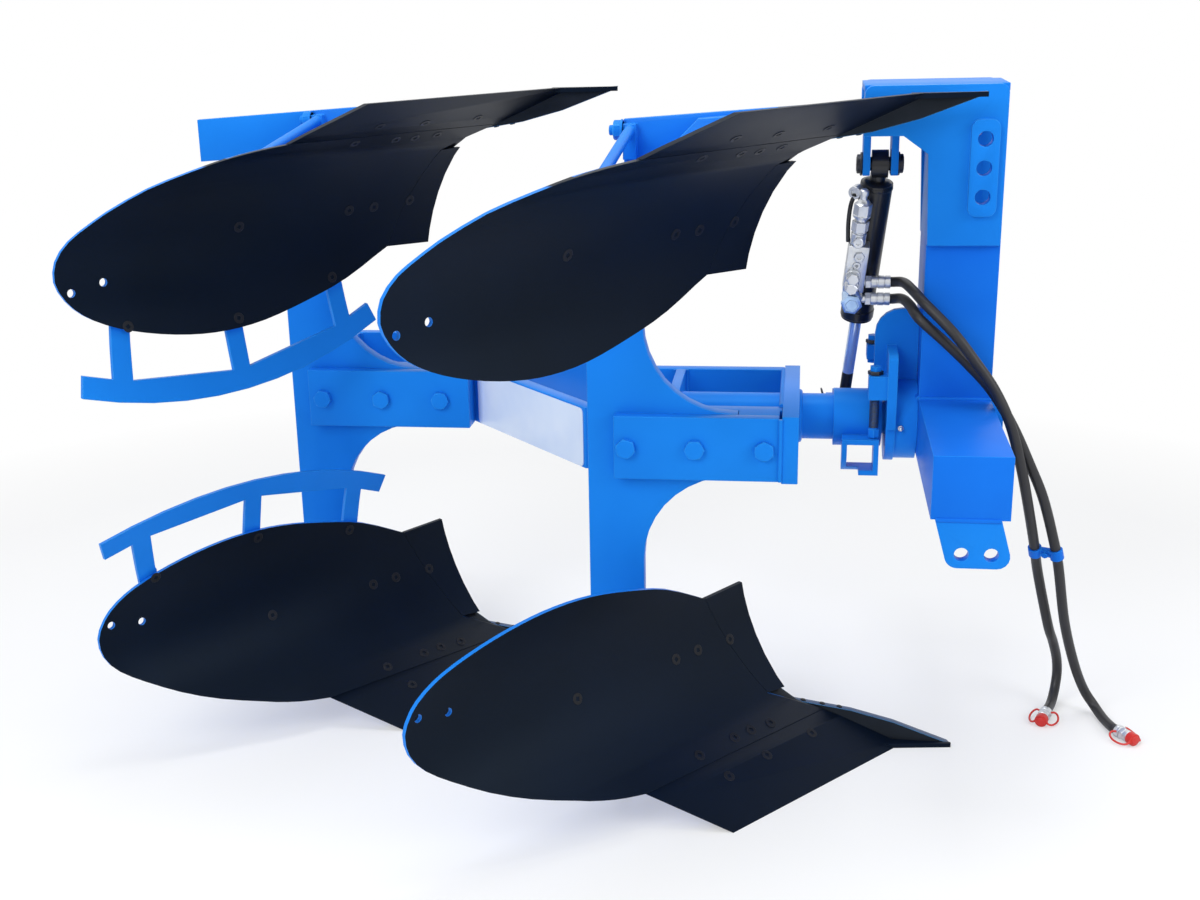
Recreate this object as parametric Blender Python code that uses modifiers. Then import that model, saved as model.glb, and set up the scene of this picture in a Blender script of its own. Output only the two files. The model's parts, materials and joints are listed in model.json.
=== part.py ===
"""Reversible moldboard plough with two pairs of bodies and a hydraulic turnover headstock.

Metres. X points to the tractor, Y to the landside of the standing plough, Z up. While the pieces
are modelled, the turnover axis is the X axis, and the ground lies GROUND below it. At the end the
whole plough is lifted onto the ground and centred over the origin.
"""

import math

import bmesh
import bpy
from mathutils import Matrix, Vector

# Fits and shared sizes
GAP = 0.0003            # between pieces that are bolted or welded together
SEAM = 0.0008           # between the plates of one plough body
OVERRUN = 0.02          # how far a cut runs past the face it opens
RUNNING = 0.001         # radial play of a pin or journal in its hole
GROUND = 0.58           # turnover axis above the ground

# Spacing of the two pairs of bodies
BODY_SPACING = 0.63     # along the furrow
FURROW_WIDTH = 0.30     # across the furrow

# Plough body: a ruled surface whose level lines run at the share angle
SHARE_ANGLE = math.radians(48.0)
SHARE_LIFT = math.radians(30.3)     # slope of the share, and where the curve starts
TOP_SLOPE = math.radians(102.6)     # slope at which the curve ends
CURVE_RADIUS = 0.281
CURVE_START = 0.0635                # height at which the share's slope turns into the curve
EDGE_OFFSET = 0.3885                # cutting edge ahead of the body's middle line
TWIST_PIVOT = 0.200                 # place along the body where the twist moves nothing
TWIST_AT_SHARE = -0.0406            # slope of the share's level lines against the share angle
TWIST_START = 0.070                 # height from which the level lines turn further
TWIST_GAIN = 0.483
PLATE_THICKNESS = 0.008             # moldboard, shin and share
WING_LENGTH = 0.802                 # from the shin side to the tail
WING_HEIGHT = 0.388
SHARE_HEIGHT = 0.064
SHARE_HEEL = 0.311
SHARE_SHOULDER = 0.409
SHARE_NOSE = 0.165
SEAM_FRONT = 0.045                  # front end of the seam over the share
SHIN_TOP_FRONT = (-0.026, 0.292)
SHIN_TOP_REAR = (-0.126, 0.288)
SHIN_LOW_REAR = (-0.046, 0.108)
SHIN_LOW_FRONT = (-0.002, 0.106)
WING_SHARES = [                     # along the wing, up the wing
    (0.281, 0.863),
    (0.399, 0.933),
    (0.520, 0.985),
    (0.623, 1.000),
    (0.717, 0.987),
    (0.817, 0.946),
    (0.904, 0.884),
    (0.966, 0.799),
    (1.000, 0.675),
    (0.983, 0.546),
    (0.916, 0.436),
    (0.804, 0.314),
    (0.673, 0.227),
    (0.586, 0.187),
]
TAIL_HOLES = [(-0.717, 0.273), (-0.776, 0.283)]
TAIL_HOLE_RADIUS = 0.0072

# Point of the share, beside the landside's nose
POINT_REAR = 0.340
POINT_CORNER = 0.358
POINT_TIP = 0.461
POINT_WIDTH = 0.0200
POINT_TIP_WIDTH = 0.0055
POINT_THICKNESS = 0.008

# Frame: two bent side plates, ribs and an end plate
RAIL_HEIGHT = 0.112
RAIL_THICKNESS = 0.026
RAIL_NEAR = 0.160                   # centre of the near side plate from the axis, at the front
RAIL_SPACING = 0.293
RAIL_FRONT = 0.1467
RAIL_BEND_FRONT = -0.190
RAIL_BEND_REAR = -0.452
RAIL_REAR = -0.800
END_PLATE_THICKNESS = 0.028
END_PLATE_LIP = 0.003
RIB_THICKNESS = 0.018
RIB_PLACES = (-0.049, -0.560, -0.775)
SPACER_LENGTH = 0.068
BOLT_SPACING = 0.1185

# Legs with the curved arm that is bolted to the frame
LEG_THICKNESS = 0.030
LEG_WIDTH = 0.097
LEG_REAR = -0.187
LEG_REACH = 0.460
LEG_ARM = 0.072
LEG_FILLET = 0.155
LEG_FOOT_FILLET = 0.020
DOUBLER_THICKNESS = 0.025
DOUBLER_REAR = -0.139
DOUBLER_FRONT = 0.1425
REAR_DOUBLER_REAR = -0.147
REAR_DOUBLER_FRONT = 0.174

# Frog, landside and brace of each body
LANDSIDE_THICKNESS = 0.014
LANDSIDE_HEIGHT = 0.080
LANDSIDE_RISE = 0.0597              # how far the lower edge rises to the rear, over its length
LANDSIDE_REAR = -0.125
LANDSIDE_TIP = 0.461
LANDSIDE_TOP = [                    # upper edge of the nose: along the plough, height
    (0.120, 0.100),
    (0.162, 0.080),
    (0.280, 0.062),
    (0.357, 0.042),
    (0.455, 0.006),
]
HEEL_LENGTH = 0.235
END_BLOCK_LENGTH = 0.022
END_BLOCK_DEPTH = 0.018
END_BLOCK_LOW = 0.042
END_BLOCK_TOP = 0.100
FROG_THICKNESS = 0.0305
FROG_TOP = 0.270
FROG_CROWN = 0.040
FROG_NOSE = 0.330
FROG_NOSE_HEIGHT = 0.012
FROG_HEEL = 0.0
FROG_HEEL_HEIGHT = 0.034
FROG_BACK_LOW = 0.220
BRACE_RADIUS = 0.009
BRACE_REAR = -0.114
BRACE_LOW = 0.052
BRACE_ALONG = -0.460
BRACE_HIGH = 0.088

# Guard bars over the rear bodies
GUARD_THICKNESS = 0.008
GUARD_DEPTH = 0.036
GUARD_RADIUS = 0.886
GUARD_CROWN = 0.4764
GUARD_MIDDLE = -0.520
GUARD_REAR_SPAN = 0.270
GUARD_FRONT_SPAN = 0.345
TAB_WIDTH = 0.035
TAB_TABLE = [                       # along the wing and height at the tab's foot, along the wing at the bar
    (-0.695, 0.343, -0.715),
    (-0.479, 0.361, -0.483),
    (-0.252, 0.320, -0.246),
]

# Turnover shaft and the arm that the cylinder turns
SHAFT_RADIUS = 0.0415
JOURNAL_RADIUS = 0.030
SLEEVE_RADIUS = 0.052
SLEEVE_REAR = 0.236
SLEEVE_FRONT = 0.3205
LEVER_THICKNESS = 0.008
LEVER_RADIUS = 0.125
LEVER_EYE_RADIUS = 0.020
LEVER_ROOT_RADIUS = 0.050
LEVER_REAR = 0.236
LEVER_FRONT = 0.2805
STUB_RADIUS = 0.008
STUB_CLEARANCE = 0.0015
STUB_HEAD_RADIUS = 0.012
STUB_HEAD_LENGTH = 0.012
STOP_BOX_REAR = 0.251
STOP_BOX_FRONT = 0.315
STOP_BOX_NEAR = 0.085
STOP_BOX_FAR = 0.035
STOP_BOX_TOP = 0.020
STOP_BOX_BOTTOM = 0.085
STOP_BOX_WALL = 0.009
ROD_SWEEP_RADIUS = 0.099    # inside the circle that the rod's eye needs
ROD_SWEEP_FRONT = 0.281

# Headstock
HUB_RADIUS = 0.073
CARRIER_RADIUS = 0.077
CARRIER_REAR = 0.3265
CARRIER_THICKNESS = 0.016
CARRIER_HALF_WIDTH = 0.088
CARRIER_TOP = 0.135
CARRIER_FILLET = 0.015
GUSSET_THICKNESS = 0.012
GUSSET_REAR = 0.305
GUSSET_BOTTOM = 0.079
GUSSET_TOP = 0.200
GUSSET_FILLET = 0.045
BLOCK_REAR = 0.294
BLOCK_INNER = 0.045
BLOCK_OUTER = 0.085
BLOCK_NEAR_LOW = 0.053
BLOCK_NEAR_HEIGHT = 0.042
BLOCK_FAR_LOW = 0.096
BLOCK_FAR_HEIGHT = 0.026
STOP_BOLT_RADIUS = 0.008
STOP_BOLT_X = 0.3055
STOP_BOLT_Y = 0.066
STOP_BOLT_HEAD = 0.0105
STOP_BOLT_HEAD_HEIGHT = 0.015
STOP_CLEARANCE = 0.0015
COLUMN_REAR = 0.381
COLUMN_FRONT = 0.503
COLUMN_HALF_WIDTH = 0.0697
COLUMN_TOP = 0.360
COLUMN_WALL = 0.010
BEAM_HALF_LENGTH = 0.4125
BEAM_HALF_HEIGHT = 0.052
BEAM_WALL = 0.010
LUG_THICKNESS = 0.020
LUG_TOP_REAR = 0.388
LUG_TOP_FRONT = 0.490
LUG_LEAN = 0.022
LUG_DEPTH = 0.080
LUG_FILLET = 0.020
LUG_HOLE_RADIUS = 0.0114
LUG_HOLE_DEPTH = 0.057
LUG_HOLE_REAR = 0.431
LUG_HOLE_FRONT = 0.477
TOWER_THICKNESS = 0.016
TOWER_TOP = 0.588
TOWER_REAR = 0.270
TOWER_FRONT = 0.501
TOWER_BOTTOM = 0.324
TOWER_BACK = 0.376
ARM_BOTTOM = 0.506
ARM_CORNER = 0.335
ARM_CHAMFER = 0.030
TOWER_FILLET = 0.014
ROOF_THICKNESS = 0.012
WEB_THICKNESS = 0.010
PAD_THICKNESS = 0.012
PAD_REAR = 0.443
PAD_FRONT = 0.489
PAD_TOP = 0.532
PAD_BOTTOM = 0.374
PAD_FILLET = 0.014
LINK_HOLE_RADIUS = 0.0128
LINK_HOLE_X = 0.466
LINK_HOLE_TOP = 0.501
LINK_HOLE_SPACING = 0.0475
END_NUT_RADIUS = 0.046
END_NUT_LENGTH = 0.024

# Turnover cylinder
PIN_X = 0.302
PIN_Z = 0.452
EYE_X = 0.2575
CLEVIS_THICKNESS = 0.012
CLEVIS_GAP = 0.035
CLEVIS_HALF_WIDTH = 0.032
CLEVIS_DROP = 0.018
CLEVIS_FILLET = 0.010
PIN_RADIUS = 0.012
PIN_HALF_LENGTH = 0.040
BARREL_EYE_RADIUS = 0.024
BARREL_EYE_WIDTH = 0.028
BARREL_RADIUS = 0.028
BARREL_NECK_RADIUS = 0.0135
BARREL_TOP = 0.034
BARREL_LENGTH = 0.296
BARREL_BORE_DEPTH = 0.205
ROD_RADIUS = 0.0105
ROD_INSERTED = 0.060
ROD_EYE_RADIUS = 0.020
ROD_EYE_WIDTH = 0.018
VALVE_TOP = 0.170
VALVE_BOTTOM = 0.285
VALVE_WIDTH = 0.034
VALVE_DEPTH = 0.030
VALVE_SHIFT = 0.014         # of the valve to the rear of the barrel's middle
FERRULE_RADIUS = 0.011
HOSE_RADIUS = 0.009
HOSE_START = 0.322
COUPLER_RADIUS = 0.012
COUPLER_LENGTH = 0.032
CAP_RADIUS = 0.0095
CAP_LENGTH = 0.014

# Routes of the two hoses, from the valve to the couplers on the ground
HOSE_UPPER_POINTS = [
    (0.3223, 0.015, 0.2437), (0.3273, 0.015, 0.2437), (0.3323, 0.015, 0.2437), (0.350, -0.008, 0.2470),
    (0.363, -0.060, 0.2430), (0.380, -0.098, 0.2290), (0.428, -0.128, 0.1840), (0.465, -0.133, 0.1370),
    (0.500, -0.136, 0.0880), (0.529, -0.135, 0.0290), (0.552, -0.125, -0.0450), (0.570, -0.108, -0.1150),
    (0.5945, -0.065, -0.2146), (0.6095, -0.030, -0.2800), (0.6397, 0.005, -0.3946), (0.656, 0.034, -0.4400),
    (0.669, 0.058, -0.4830), (0.6735, 0.065, -0.5150), (0.6715, 0.059, -0.5400), (0.666, 0.044, -0.5590),
    (0.6595, 0.026, -0.5670), (0.6537, 0.011, -0.5680), (0.6502, 0.0016, -0.5680), (0.6467, -0.0078, -0.5680),
]
HOSE_LOWER_POINTS = [
    (0.3223, 0.015, 0.2135), (0.3273, 0.015, 0.2135), (0.3323, 0.015, 0.2135), (0.349, -0.008, 0.2180),
    (0.360, -0.060, 0.2160), (0.373, -0.100, 0.2020), (0.414, -0.108, 0.1660), (0.455, -0.108, 0.1270),
    (0.498, -0.108, 0.0800), (0.537, -0.108, 0.0180), (0.572, -0.104, -0.0550), (0.599, -0.096, -0.1170),
    (0.625, -0.078, -0.2010), (0.639, -0.066, -0.2570), (0.662, -0.034, -0.3720), (0.690, -0.002, -0.4660),
    (0.716, 0.022, -0.5300), (0.737, 0.018, -0.5620), (0.748, -0.020, -0.5700), (0.757, -0.0600, -0.5680),
    (0.7608, -0.0660, -0.5680), (0.7646, -0.0720, -0.5680),
]

ALONG = Vector((math.cos(SHARE_ANGLE), math.sin(SHARE_ANGLE), 0.0))
AHEAD = Vector((math.sin(SHARE_ANGLE), -math.cos(SHARE_ANGLE), 0.0))
UP = Vector((0.0, 0.0, 1.0))
RIGHT = Vector((1.0, 0.0, 0.0))
BACK = Vector((0.0, 1.0, 0.0))

# Faces of the stack that clamps a leg to the frame, and of what hangs below it
RAIL_FACE = -RAIL_NEAR - RAIL_THICKNESS / 2
LEG_FACE = RAIL_FACE - GAP - LEG_THICKNESS
DOUBLER_FACE = LEG_FACE - GAP - DOUBLER_THICKNESS
FROG_NEAR = RAIL_FACE
FROG_FAR = FROG_NEAR + FROG_THICKNESS
LANDSIDE_NEAR = FROG_FAR + GAP
RUNG = -RAIL_NEAR + RAIL_THICKNESS / 2

# Colours, roughness and metal share of each finish
FINISHES = {
    "blue_paint": ((0.012, 0.21, 0.80), 0.35, 0.0),
    "black_paint": ((0.006, 0.008, 0.014), 0.45, 0.0),
    "chrome": ((0.75, 0.76, 0.78), 0.12, 1.0),
    "zinc": ((0.62, 0.63, 0.64), 0.32, 1.0),
    "rubber": ((0.012, 0.012, 0.013), 0.60, 0.0),
    "red_cap": ((0.62, 0.02, 0.015), 0.45, 0.0),
}


def clear_scene():
    """Remove the objects that a new scene starts with."""
    for thing in list(bpy.data.objects):
        bpy.data.objects.remove(thing, do_unlink=True)


def finish_material(node, finish):
    """Make a material for one node from a finish in the table."""
    colour, roughness, metal = FINISHES[finish]
    material = bpy.data.materials.new(node)
    material.use_nodes = True
    shader = material.node_tree.nodes["Principled BSDF"]
    shader.inputs["Base Color"].default_value = (*colour, 1.0)
    shader.inputs["Roughness"].default_value = roughness
    shader.inputs["Metallic"].default_value = metal
    return material


def mesh_object(name, mesh):
    """Wrap a mesh in an object of the plough's collection."""
    thing = bpy.data.objects.new(name, mesh)
    PLOUGH.objects.link(thing)
    return thing


def from_bmesh(name, shape):
    """Turn a bmesh into an object."""
    mesh = bpy.data.meshes.new(name)
    shape.to_mesh(mesh)
    shape.free()
    return mesh_object(name, mesh)


def box(name, low, high):
    """Box between two corners."""
    low, high = Vector(low), Vector(high)
    shape = bmesh.new()
    bmesh.ops.create_cube(shape, size=1.0)
    size = high - low
    bmesh.ops.scale(shape, vec=size, verts=shape.verts)
    bmesh.ops.translate(shape, vec=(low + high) / 2, verts=shape.verts)
    return from_bmesh(name, shape)


def bar(name, start, end, radius, sides=24, end_radius=None):
    """Round bar or cone between two points."""
    start, end = Vector(start), Vector(end)
    run = end - start
    shape = bmesh.new()
    bmesh.ops.create_cone(shape, cap_ends=True, segments=sides, radius1=radius,
                          radius2=radius if end_radius is None else end_radius, depth=run.length)
    turn = UP.rotation_difference(run).to_matrix().to_4x4()
    bmesh.ops.transform(shape, matrix=Matrix.Translation((start + end) / 2) @ turn, verts=shape.verts)
    return from_bmesh(name, shape)


def evaluated_mesh(thing):
    """Mesh of an object with its modifiers, in world space."""
    bpy.context.view_layer.update()
    depsgraph = bpy.context.evaluated_depsgraph_get()
    mesh = bpy.data.meshes.new_from_object(thing.evaluated_get(depsgraph), depsgraph=depsgraph)
    mesh.transform(thing.matrix_world)
    return mesh


def baked(thing):
    """Replace an object by its evaluated, welded mesh at the world's origin."""
    mesh = evaluated_mesh(thing)
    name = thing.name
    bpy.data.objects.remove(thing, do_unlink=True)
    shape = bmesh.new()
    shape.from_mesh(mesh)
    bmesh.ops.remove_doubles(shape, verts=shape.verts, dist=GAP / 30)
    return from_bmesh(name, shape)


def prism(name, outline, across, up, low, high):
    """Flat outline in the plane of across and up, pushed from low to high along their cross product."""
    curve = bpy.data.curves.new(name, "CURVE")
    curve.dimensions = "2D"
    curve.fill_mode = "BOTH"
    curve.extrude = (high - low) / 2
    spline = curve.splines.new("POLY")
    spline.points.add(len(outline) - 1)
    for point, (a, b) in zip(spline.points, outline):
        point.co = (a, b, 0.0, 1.0)
    spline.use_cyclic_u = True
    thing = bpy.data.objects.new(name, curve)
    PLOUGH.objects.link(thing)
    normal = across.cross(up)
    frame = Matrix((across, up, normal)).transposed().to_4x4()
    thing.matrix_world = Matrix.Translation(normal * (low + high) / 2) @ frame
    return baked(thing)


def side_plate(name, outline, near, far):
    """Plate whose outline is given in X and Z, between two Y values."""
    return prism(name, outline, RIGHT, UP, -far, -near)


def cross_plate(name, outline, rear, front):
    """Plate whose outline is given in Y and Z, between two X values."""
    return prism(name, outline, BACK, UP, rear, front)


def boolean(target, tools, operation):
    """Cut, join or intersect the target with each tool, and remove the tools."""
    for tool in tools:
        modifier = target.modifiers.new(operation, "BOOLEAN")
        modifier.object = tool
        modifier.operation = operation
        modifier.solver = "EXACT"
    result = baked(target)
    for tool in tools:
        bpy.data.objects.remove(tool, do_unlink=True)
    return result


def cut(target, *tools):
    return boolean(target, tools, "DIFFERENCE")


def join(target, *tools):
    return boolean(target, tools, "UNION")


def arc(centre, radius, start, end, steps):
    """Points of an arc, angles in degrees."""
    points = []
    for step in range(steps + 1):
        angle = math.radians(start + (end - start) * step / steps)
        points.append((centre[0] + radius * math.cos(angle), centre[1] + radius * math.sin(angle)))
    return points


def rounded(corners, steps=5):
    """Outline through corners given as (a, b, fillet radius)."""
    outline = []
    count = len(corners)
    for index, (a, b, radius) in enumerate(corners):
        here = Vector((a, b))
        if radius == 0.0:
            outline.append((a, b))
            continue
        before = Vector(corners[index - 1][:2]) - here
        after = Vector(corners[(index + 1) % count][:2]) - here
        before.normalize()
        after.normalize()
        half = before.angle(after) / 2
        start = here + before * radius / math.tan(half)
        end = here + after * radius / math.tan(half)
        centre = here + (before + after).normalized() * radius / math.sin(half)
        first, last = start - centre, end - centre
        sweep = math.atan2(first.x * last.y - first.y * last.x, first.dot(last))
        for step in range(steps + 1):
            angle = sweep * step / steps
            spoke = Matrix.Rotation(angle, 2) @ first
            outline.append(tuple(centre + spoke))
    return outline


def smooth(points, steps, closed=False):
    """Points on a smooth curve through the given points."""
    count = len(points)
    spans = count if closed else count - 1
    result = []
    for span in range(spans):
        if closed:
            corners = [Vector(points[(span + k - 1) % count]) for k in range(4)]
        else:
            corners = [Vector(points[min(max(span + k - 1, 0), count - 1)]) for k in range(4)]
        for step in range(steps):
            t = step / steps
            a, b, c, d = corners
            spot = 0.5 * (2 * b + (c - a) * t + (2 * a - 5 * b + 4 * c - d) * t * t
                          + (3 * b - a - 3 * c + d) * t * t * t)
            result.append(tuple(spot))
    if not closed:
        result.append(tuple(points[-1]))
    return result


# The body's surface

def level_slope(height):
    """Slope of the level line at a height against the share angle."""
    return TWIST_AT_SHARE - TWIST_GAIN * max(0.0, height - TWIST_START) ** 2


def profile(height):
    """How far ahead the surface lies at a height: straight share, arc, straight top."""
    start = EDGE_OFFSET - CURVE_START / math.tan(SHARE_LIFT)
    if height <= CURVE_START:
        return EDGE_OFFSET - height / math.tan(SHARE_LIFT)
    end_height = CURVE_START + CURVE_RADIUS * (math.cos(SHARE_LIFT) - math.cos(TOP_SLOPE))
    reached = min(height, end_height)
    slope = math.acos(math.cos(SHARE_LIFT) - (reached - CURVE_START) / CURVE_RADIUS)
    ahead = start - CURVE_RADIUS * (math.sin(slope) - math.sin(SHARE_LIFT))
    return ahead - (height - reached) / math.tan(TOP_SLOPE)


def surface(along, height):
    """Point of the body's front surface. The ground is at -GROUND."""
    ahead = profile(height) + level_slope(height) * (along + TWIST_PIVOT)
    return ALONG * along + AHEAD * ahead + UP * (height - GROUND)


def surface_normal(along, height):
    step = GAP
    across = surface(along + step, height) - surface(along - step, height)
    rise = surface(along, height + step) - surface(along, height - step)
    return across.cross(rise).normalized()


def surface_grid(depth):
    """Open grid of the surface, moved back by a depth."""
    shape = bmesh.new()
    bmesh.ops.create_grid(shape, x_segments=GRID_ALONG, y_segments=GRID_UP, size=0.5)
    for vert in shape.verts:
        along = GRID_REAR + (GRID_FRONT - GRID_REAR) * (vert.co.x + 0.5)
        height = GRID_LOW + (GRID_HIGH - GRID_LOW) * (vert.co.y + 0.5)
        vert.co = surface(along, height) - surface_normal(along, height) * depth
    return shape


def sheet(name, depth, thickness):
    """Curved plate of the body's surface, before its outline is cut."""
    thing = from_bmesh(name, surface_grid(depth))
    shell = thing.modifiers.new("Thickness", "SOLIDIFY")
    shell.thickness = thickness
    shell.offset = -1.0
    shell.use_even_offset = True
    return baked(thing)


def space_ahead(name):
    """Everything in front of the back of a body's plates, as a cutter for what carries them."""
    shape = surface_grid(PLATE_THICKNESS + GAP)
    faces = list(shape.faces)
    result = bmesh.ops.extrude_face_region(shape, geom=faces)
    moved = [item for item in result["geom"] if isinstance(item, bmesh.types.BMVert)]
    bmesh.ops.translate(shape, vec=AHEAD * WING_LENGTH, verts=moved)
    bmesh.ops.recalc_face_normals(shape, faces=shape.faces)
    return from_bmesh(name, shape)


def body_outline(name, outline):
    """Prism that cuts a body's plate out of the surface sheet."""
    return prism(name, outline, ALONG, UP, -WING_LENGTH, WING_LENGTH)


def lifted(outline):
    """Outline with its heights counted from the ground."""
    return [(a, height - GROUND) for a, height in outline]


GRID_ALONG = 22
GRID_UP = 15
GRID_REAR = -WING_LENGTH - OVERRUN
GRID_FRONT = SHARE_NOSE + OVERRUN
GRID_LOW = -OVERRUN
GRID_HIGH = GUARD_CROWN + 2 * OVERRUN


def landside_space(name):
    """Cutter for what lies beyond the near face of the landside."""
    return box(name, (GRID_REAR, LANDSIDE_NEAR - GAP, -GROUND - OVERRUN), (POINT_TIP, WING_LENGTH, 0.0))


def body_plate(name, outline):
    """Piece of the body's curved sheet inside an outline."""
    return boolean(sheet(name, 0.0, PLATE_THICKNESS), [body_outline("cutter", lifted(outline))], "INTERSECT")


def moldboard():
    wing = [(-WING_LENGTH * a, WING_HEIGHT * b) for a, b in WING_SHARES]
    corner = (-SHARE_SHOULDER, SHARE_HEIGHT + SEAM)
    outline = smooth([SHIN_TOP_REAR, *wing, corner], 3)
    outline += [(SEAM_FRONT, SHARE_HEIGHT + SEAM), (SHIN_LOW_REAR[0], SHIN_LOW_REAR[1] - SEAM)]
    plate = cut(body_plate("moldboard", outline), landside_space("cutter"))
    holes = []
    for along, height in TAIL_HOLES:
        middle, reach = surface(along, height), surface_normal(along, height) * OVERRUN
        holes.append(bar("cutter", middle - reach, middle + reach, TAIL_HOLE_RADIUS, 14))
    return cut(plate, *holes)


def shin():
    return body_plate("shin", [(SHIN_LOW_REAR[0] + SEAM, SHIN_LOW_REAR[1]), SHIN_LOW_FRONT, SHIN_TOP_FRONT,
                               (SHIN_TOP_REAR[0] + SEAM, SHIN_TOP_REAR[1])])


def share():
    """Share with its flat point beside the landside's nose."""
    outline = [(-SHARE_SHOULDER, SHARE_HEIGHT), (-SHARE_HEEL, 0.0), (SHARE_NOSE, 0.0), (SEAM_FRONT, SHARE_HEIGHT)]
    blade = cut(body_plate("share", outline), landside_space("cutter"))
    side = LANDSIDE_NEAR - GAP
    plan = [(POINT_REAR, side - POINT_WIDTH), (POINT_CORNER, side - POINT_WIDTH),
            (POINT_TIP, side - POINT_TIP_WIDTH), (POINT_TIP, side), (POINT_REAR, side)]
    return join(blade, prism("point", plan, RIGHT, BACK, -GROUND, POINT_THICKNESS - GROUND))


def frog():
    """Plate between leg and landside that carries the body."""
    outline = [
        (LEG_REAR, FROG_TOP), (FROG_CROWN, FROG_TOP), (FROG_NOSE, FROG_NOSE_HEIGHT),
        (FROG_HEEL, FROG_HEEL_HEIGHT), (LEG_REAR, FROG_BACK_LOW),
    ]
    return cut(side_plate("frog", lifted(outline), FROG_NEAR, FROG_FAR), space_ahead("cutter"))


def landside_low(x):
    """Height of the landside's lower edge, which rises from the tip to the rear."""
    return (LANDSIDE_TIP - x) * LANDSIDE_RISE


def landside():
    """Landside with its nose beside the share, the end block and the brace to the wing."""
    low = landside_low(LANDSIDE_REAR)
    outline = [(LANDSIDE_REAR, low), (LANDSIDE_TIP, 0.0), *reversed(LANDSIDE_TOP),
               (LANDSIDE_REAR, low + LANDSIDE_HEIGHT)]
    plate = side_plate("landside", lifted(outline), LANDSIDE_NEAR, LANDSIDE_NEAR + LANDSIDE_THICKNESS)
    block = box("block", (LANDSIDE_REAR, LANDSIDE_NEAR - END_BLOCK_DEPTH, END_BLOCK_LOW - GROUND),
                (LANDSIDE_REAR + END_BLOCK_LENGTH, LANDSIDE_NEAR + GAP, END_BLOCK_TOP - GROUND))
    start = Vector((BRACE_REAR, LANDSIDE_NEAR - END_BLOCK_DEPTH / 2, BRACE_LOW - GROUND))
    brace = cut(bar("brace", start, surface(BRACE_ALONG, BRACE_HIGH), BRACE_RADIUS, 12), space_ahead("cutter"))
    return join(plate, block, brace)


def landside_heel():
    rear, front = LANDSIDE_REAR - HEEL_LENGTH, LANDSIDE_REAR - SEAM
    outline = [(rear, landside_low(rear)), (front, landside_low(front)),
               (front, landside_low(front) + LANDSIDE_HEIGHT), (rear, landside_low(rear) + LANDSIDE_HEIGHT)]
    return side_plate("landside_heel", lifted(outline), LANDSIDE_NEAR, LANDSIDE_NEAR + LANDSIDE_THICKNESS)


def guard_bar():
    """Bent flat bar with three tabs behind the moldboard's upper edge."""
    centre = (GUARD_MIDDLE, GUARD_CROWN - GUARD_RADIUS)
    inner_radius = GUARD_RADIUS - GUARD_DEPTH / 2

    def inner_height(along):
        return centre[1] + math.sqrt(inner_radius ** 2 - (along - centre[0]) ** 2)

    front = math.degrees(math.asin(GUARD_FRONT_SPAN / GUARD_RADIUS))
    rear = math.degrees(math.asin(GUARD_REAR_SPAN / GUARD_RADIUS))
    outline = arc(centre, GUARD_RADIUS + GUARD_DEPTH / 2, 90 - front, 90 + rear, 10)
    outline.append(arc(centre, inner_radius, 90 + rear, 90 + rear, 1)[0])
    half = TAB_WIDTH / 2
    for foot, low, along in TAB_TABLE:
        outline += [(along - half, inner_height(along - half)), (foot - half, low), (foot + half, low),
                    (along + half, inner_height(along + half))]
    outline.append(arc(centre, inner_radius, 90 - front, 90 - front, 1)[0])
    return boolean(sheet("guard_bar", PLATE_THICKNESS + GAP, GUARD_THICKNESS),
                   [body_outline("cutter", lifted(outline))], "INTERSECT")


def leg():
    """Plate that carries an upper and a lower body, with its curved arm to the front."""
    front = LEG_REAR + LEG_WIDTH
    half = RAIL_HEIGHT / 2
    crown = half + LEG_FILLET
    upper = arc((front + LEG_FILLET, crown), LEG_FILLET, 270, 180, 9)
    lower = arc((front + LEG_FILLET, -crown), LEG_FILLET, 180, 90, 9)
    ends = [(front, LEG_REACH, LEG_FOOT_FILLET), (LEG_REAR, LEG_REACH, LEG_FOOT_FILLET),
            (LEG_REAR, -LEG_REACH, LEG_FOOT_FILLET), (front, -LEG_REACH, LEG_FOOT_FILLET)]
    outline = [(LEG_ARM, half), *upper, *rounded(ends)[0:], *lower, (LEG_ARM, -half)]
    return side_plate("leg", outline, LEG_FACE, LEG_FACE + LEG_THICKNESS)


def rail(name, centre):
    """Side plate of the frame, bent twice in plan."""
    bends = [(RAIL_FRONT, centre), (RAIL_BEND_FRONT, centre),
             (RAIL_BEND_REAR, centre + FURROW_WIDTH), (RAIL_REAR, centre + FURROW_WIDTH)]
    shift = RAIL_THICKNESS / 2
    turn = math.atan2(FURROW_WIDTH, RAIL_BEND_FRONT - RAIL_BEND_REAR)
    ease = shift * math.tan(turn / 2)
    far = [(bends[0][0], centre + shift), (bends[1][0] + ease, centre + shift),
           (bends[2][0] + ease, bends[2][1] + shift), (bends[3][0], bends[3][1] + shift)]
    near = [(bends[3][0], bends[3][1] - shift), (bends[2][0] - ease, bends[2][1] - shift),
            (bends[1][0] - ease, centre - shift), (bends[0][0], centre - shift)]
    return prism(name, far + near, RIGHT, BACK, -RAIL_HEIGHT / 2, RAIL_HEIGHT / 2)


def near_rail():
    """Near side plate with the spacers that fill the stack ahead of each leg's arm."""
    plate = rail("rail_near", -RAIL_NEAR)
    half = RAIL_HEIGHT / 2
    spacers = []
    for shift_x, shift_y, front in ((0.0, 0.0, DOUBLER_FRONT),
                                    (-BODY_SPACING, FURROW_WIDTH, REAR_DOUBLER_FRONT)):
        low = (shift_x + LEG_ARM + SEAM, shift_y + LEG_FACE, -half)
        high = (shift_x + front, shift_y + RAIL_FACE + GAP, half)
        spacers.append(box("spacer", low, high))
    return join(plate, *spacers)


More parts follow.
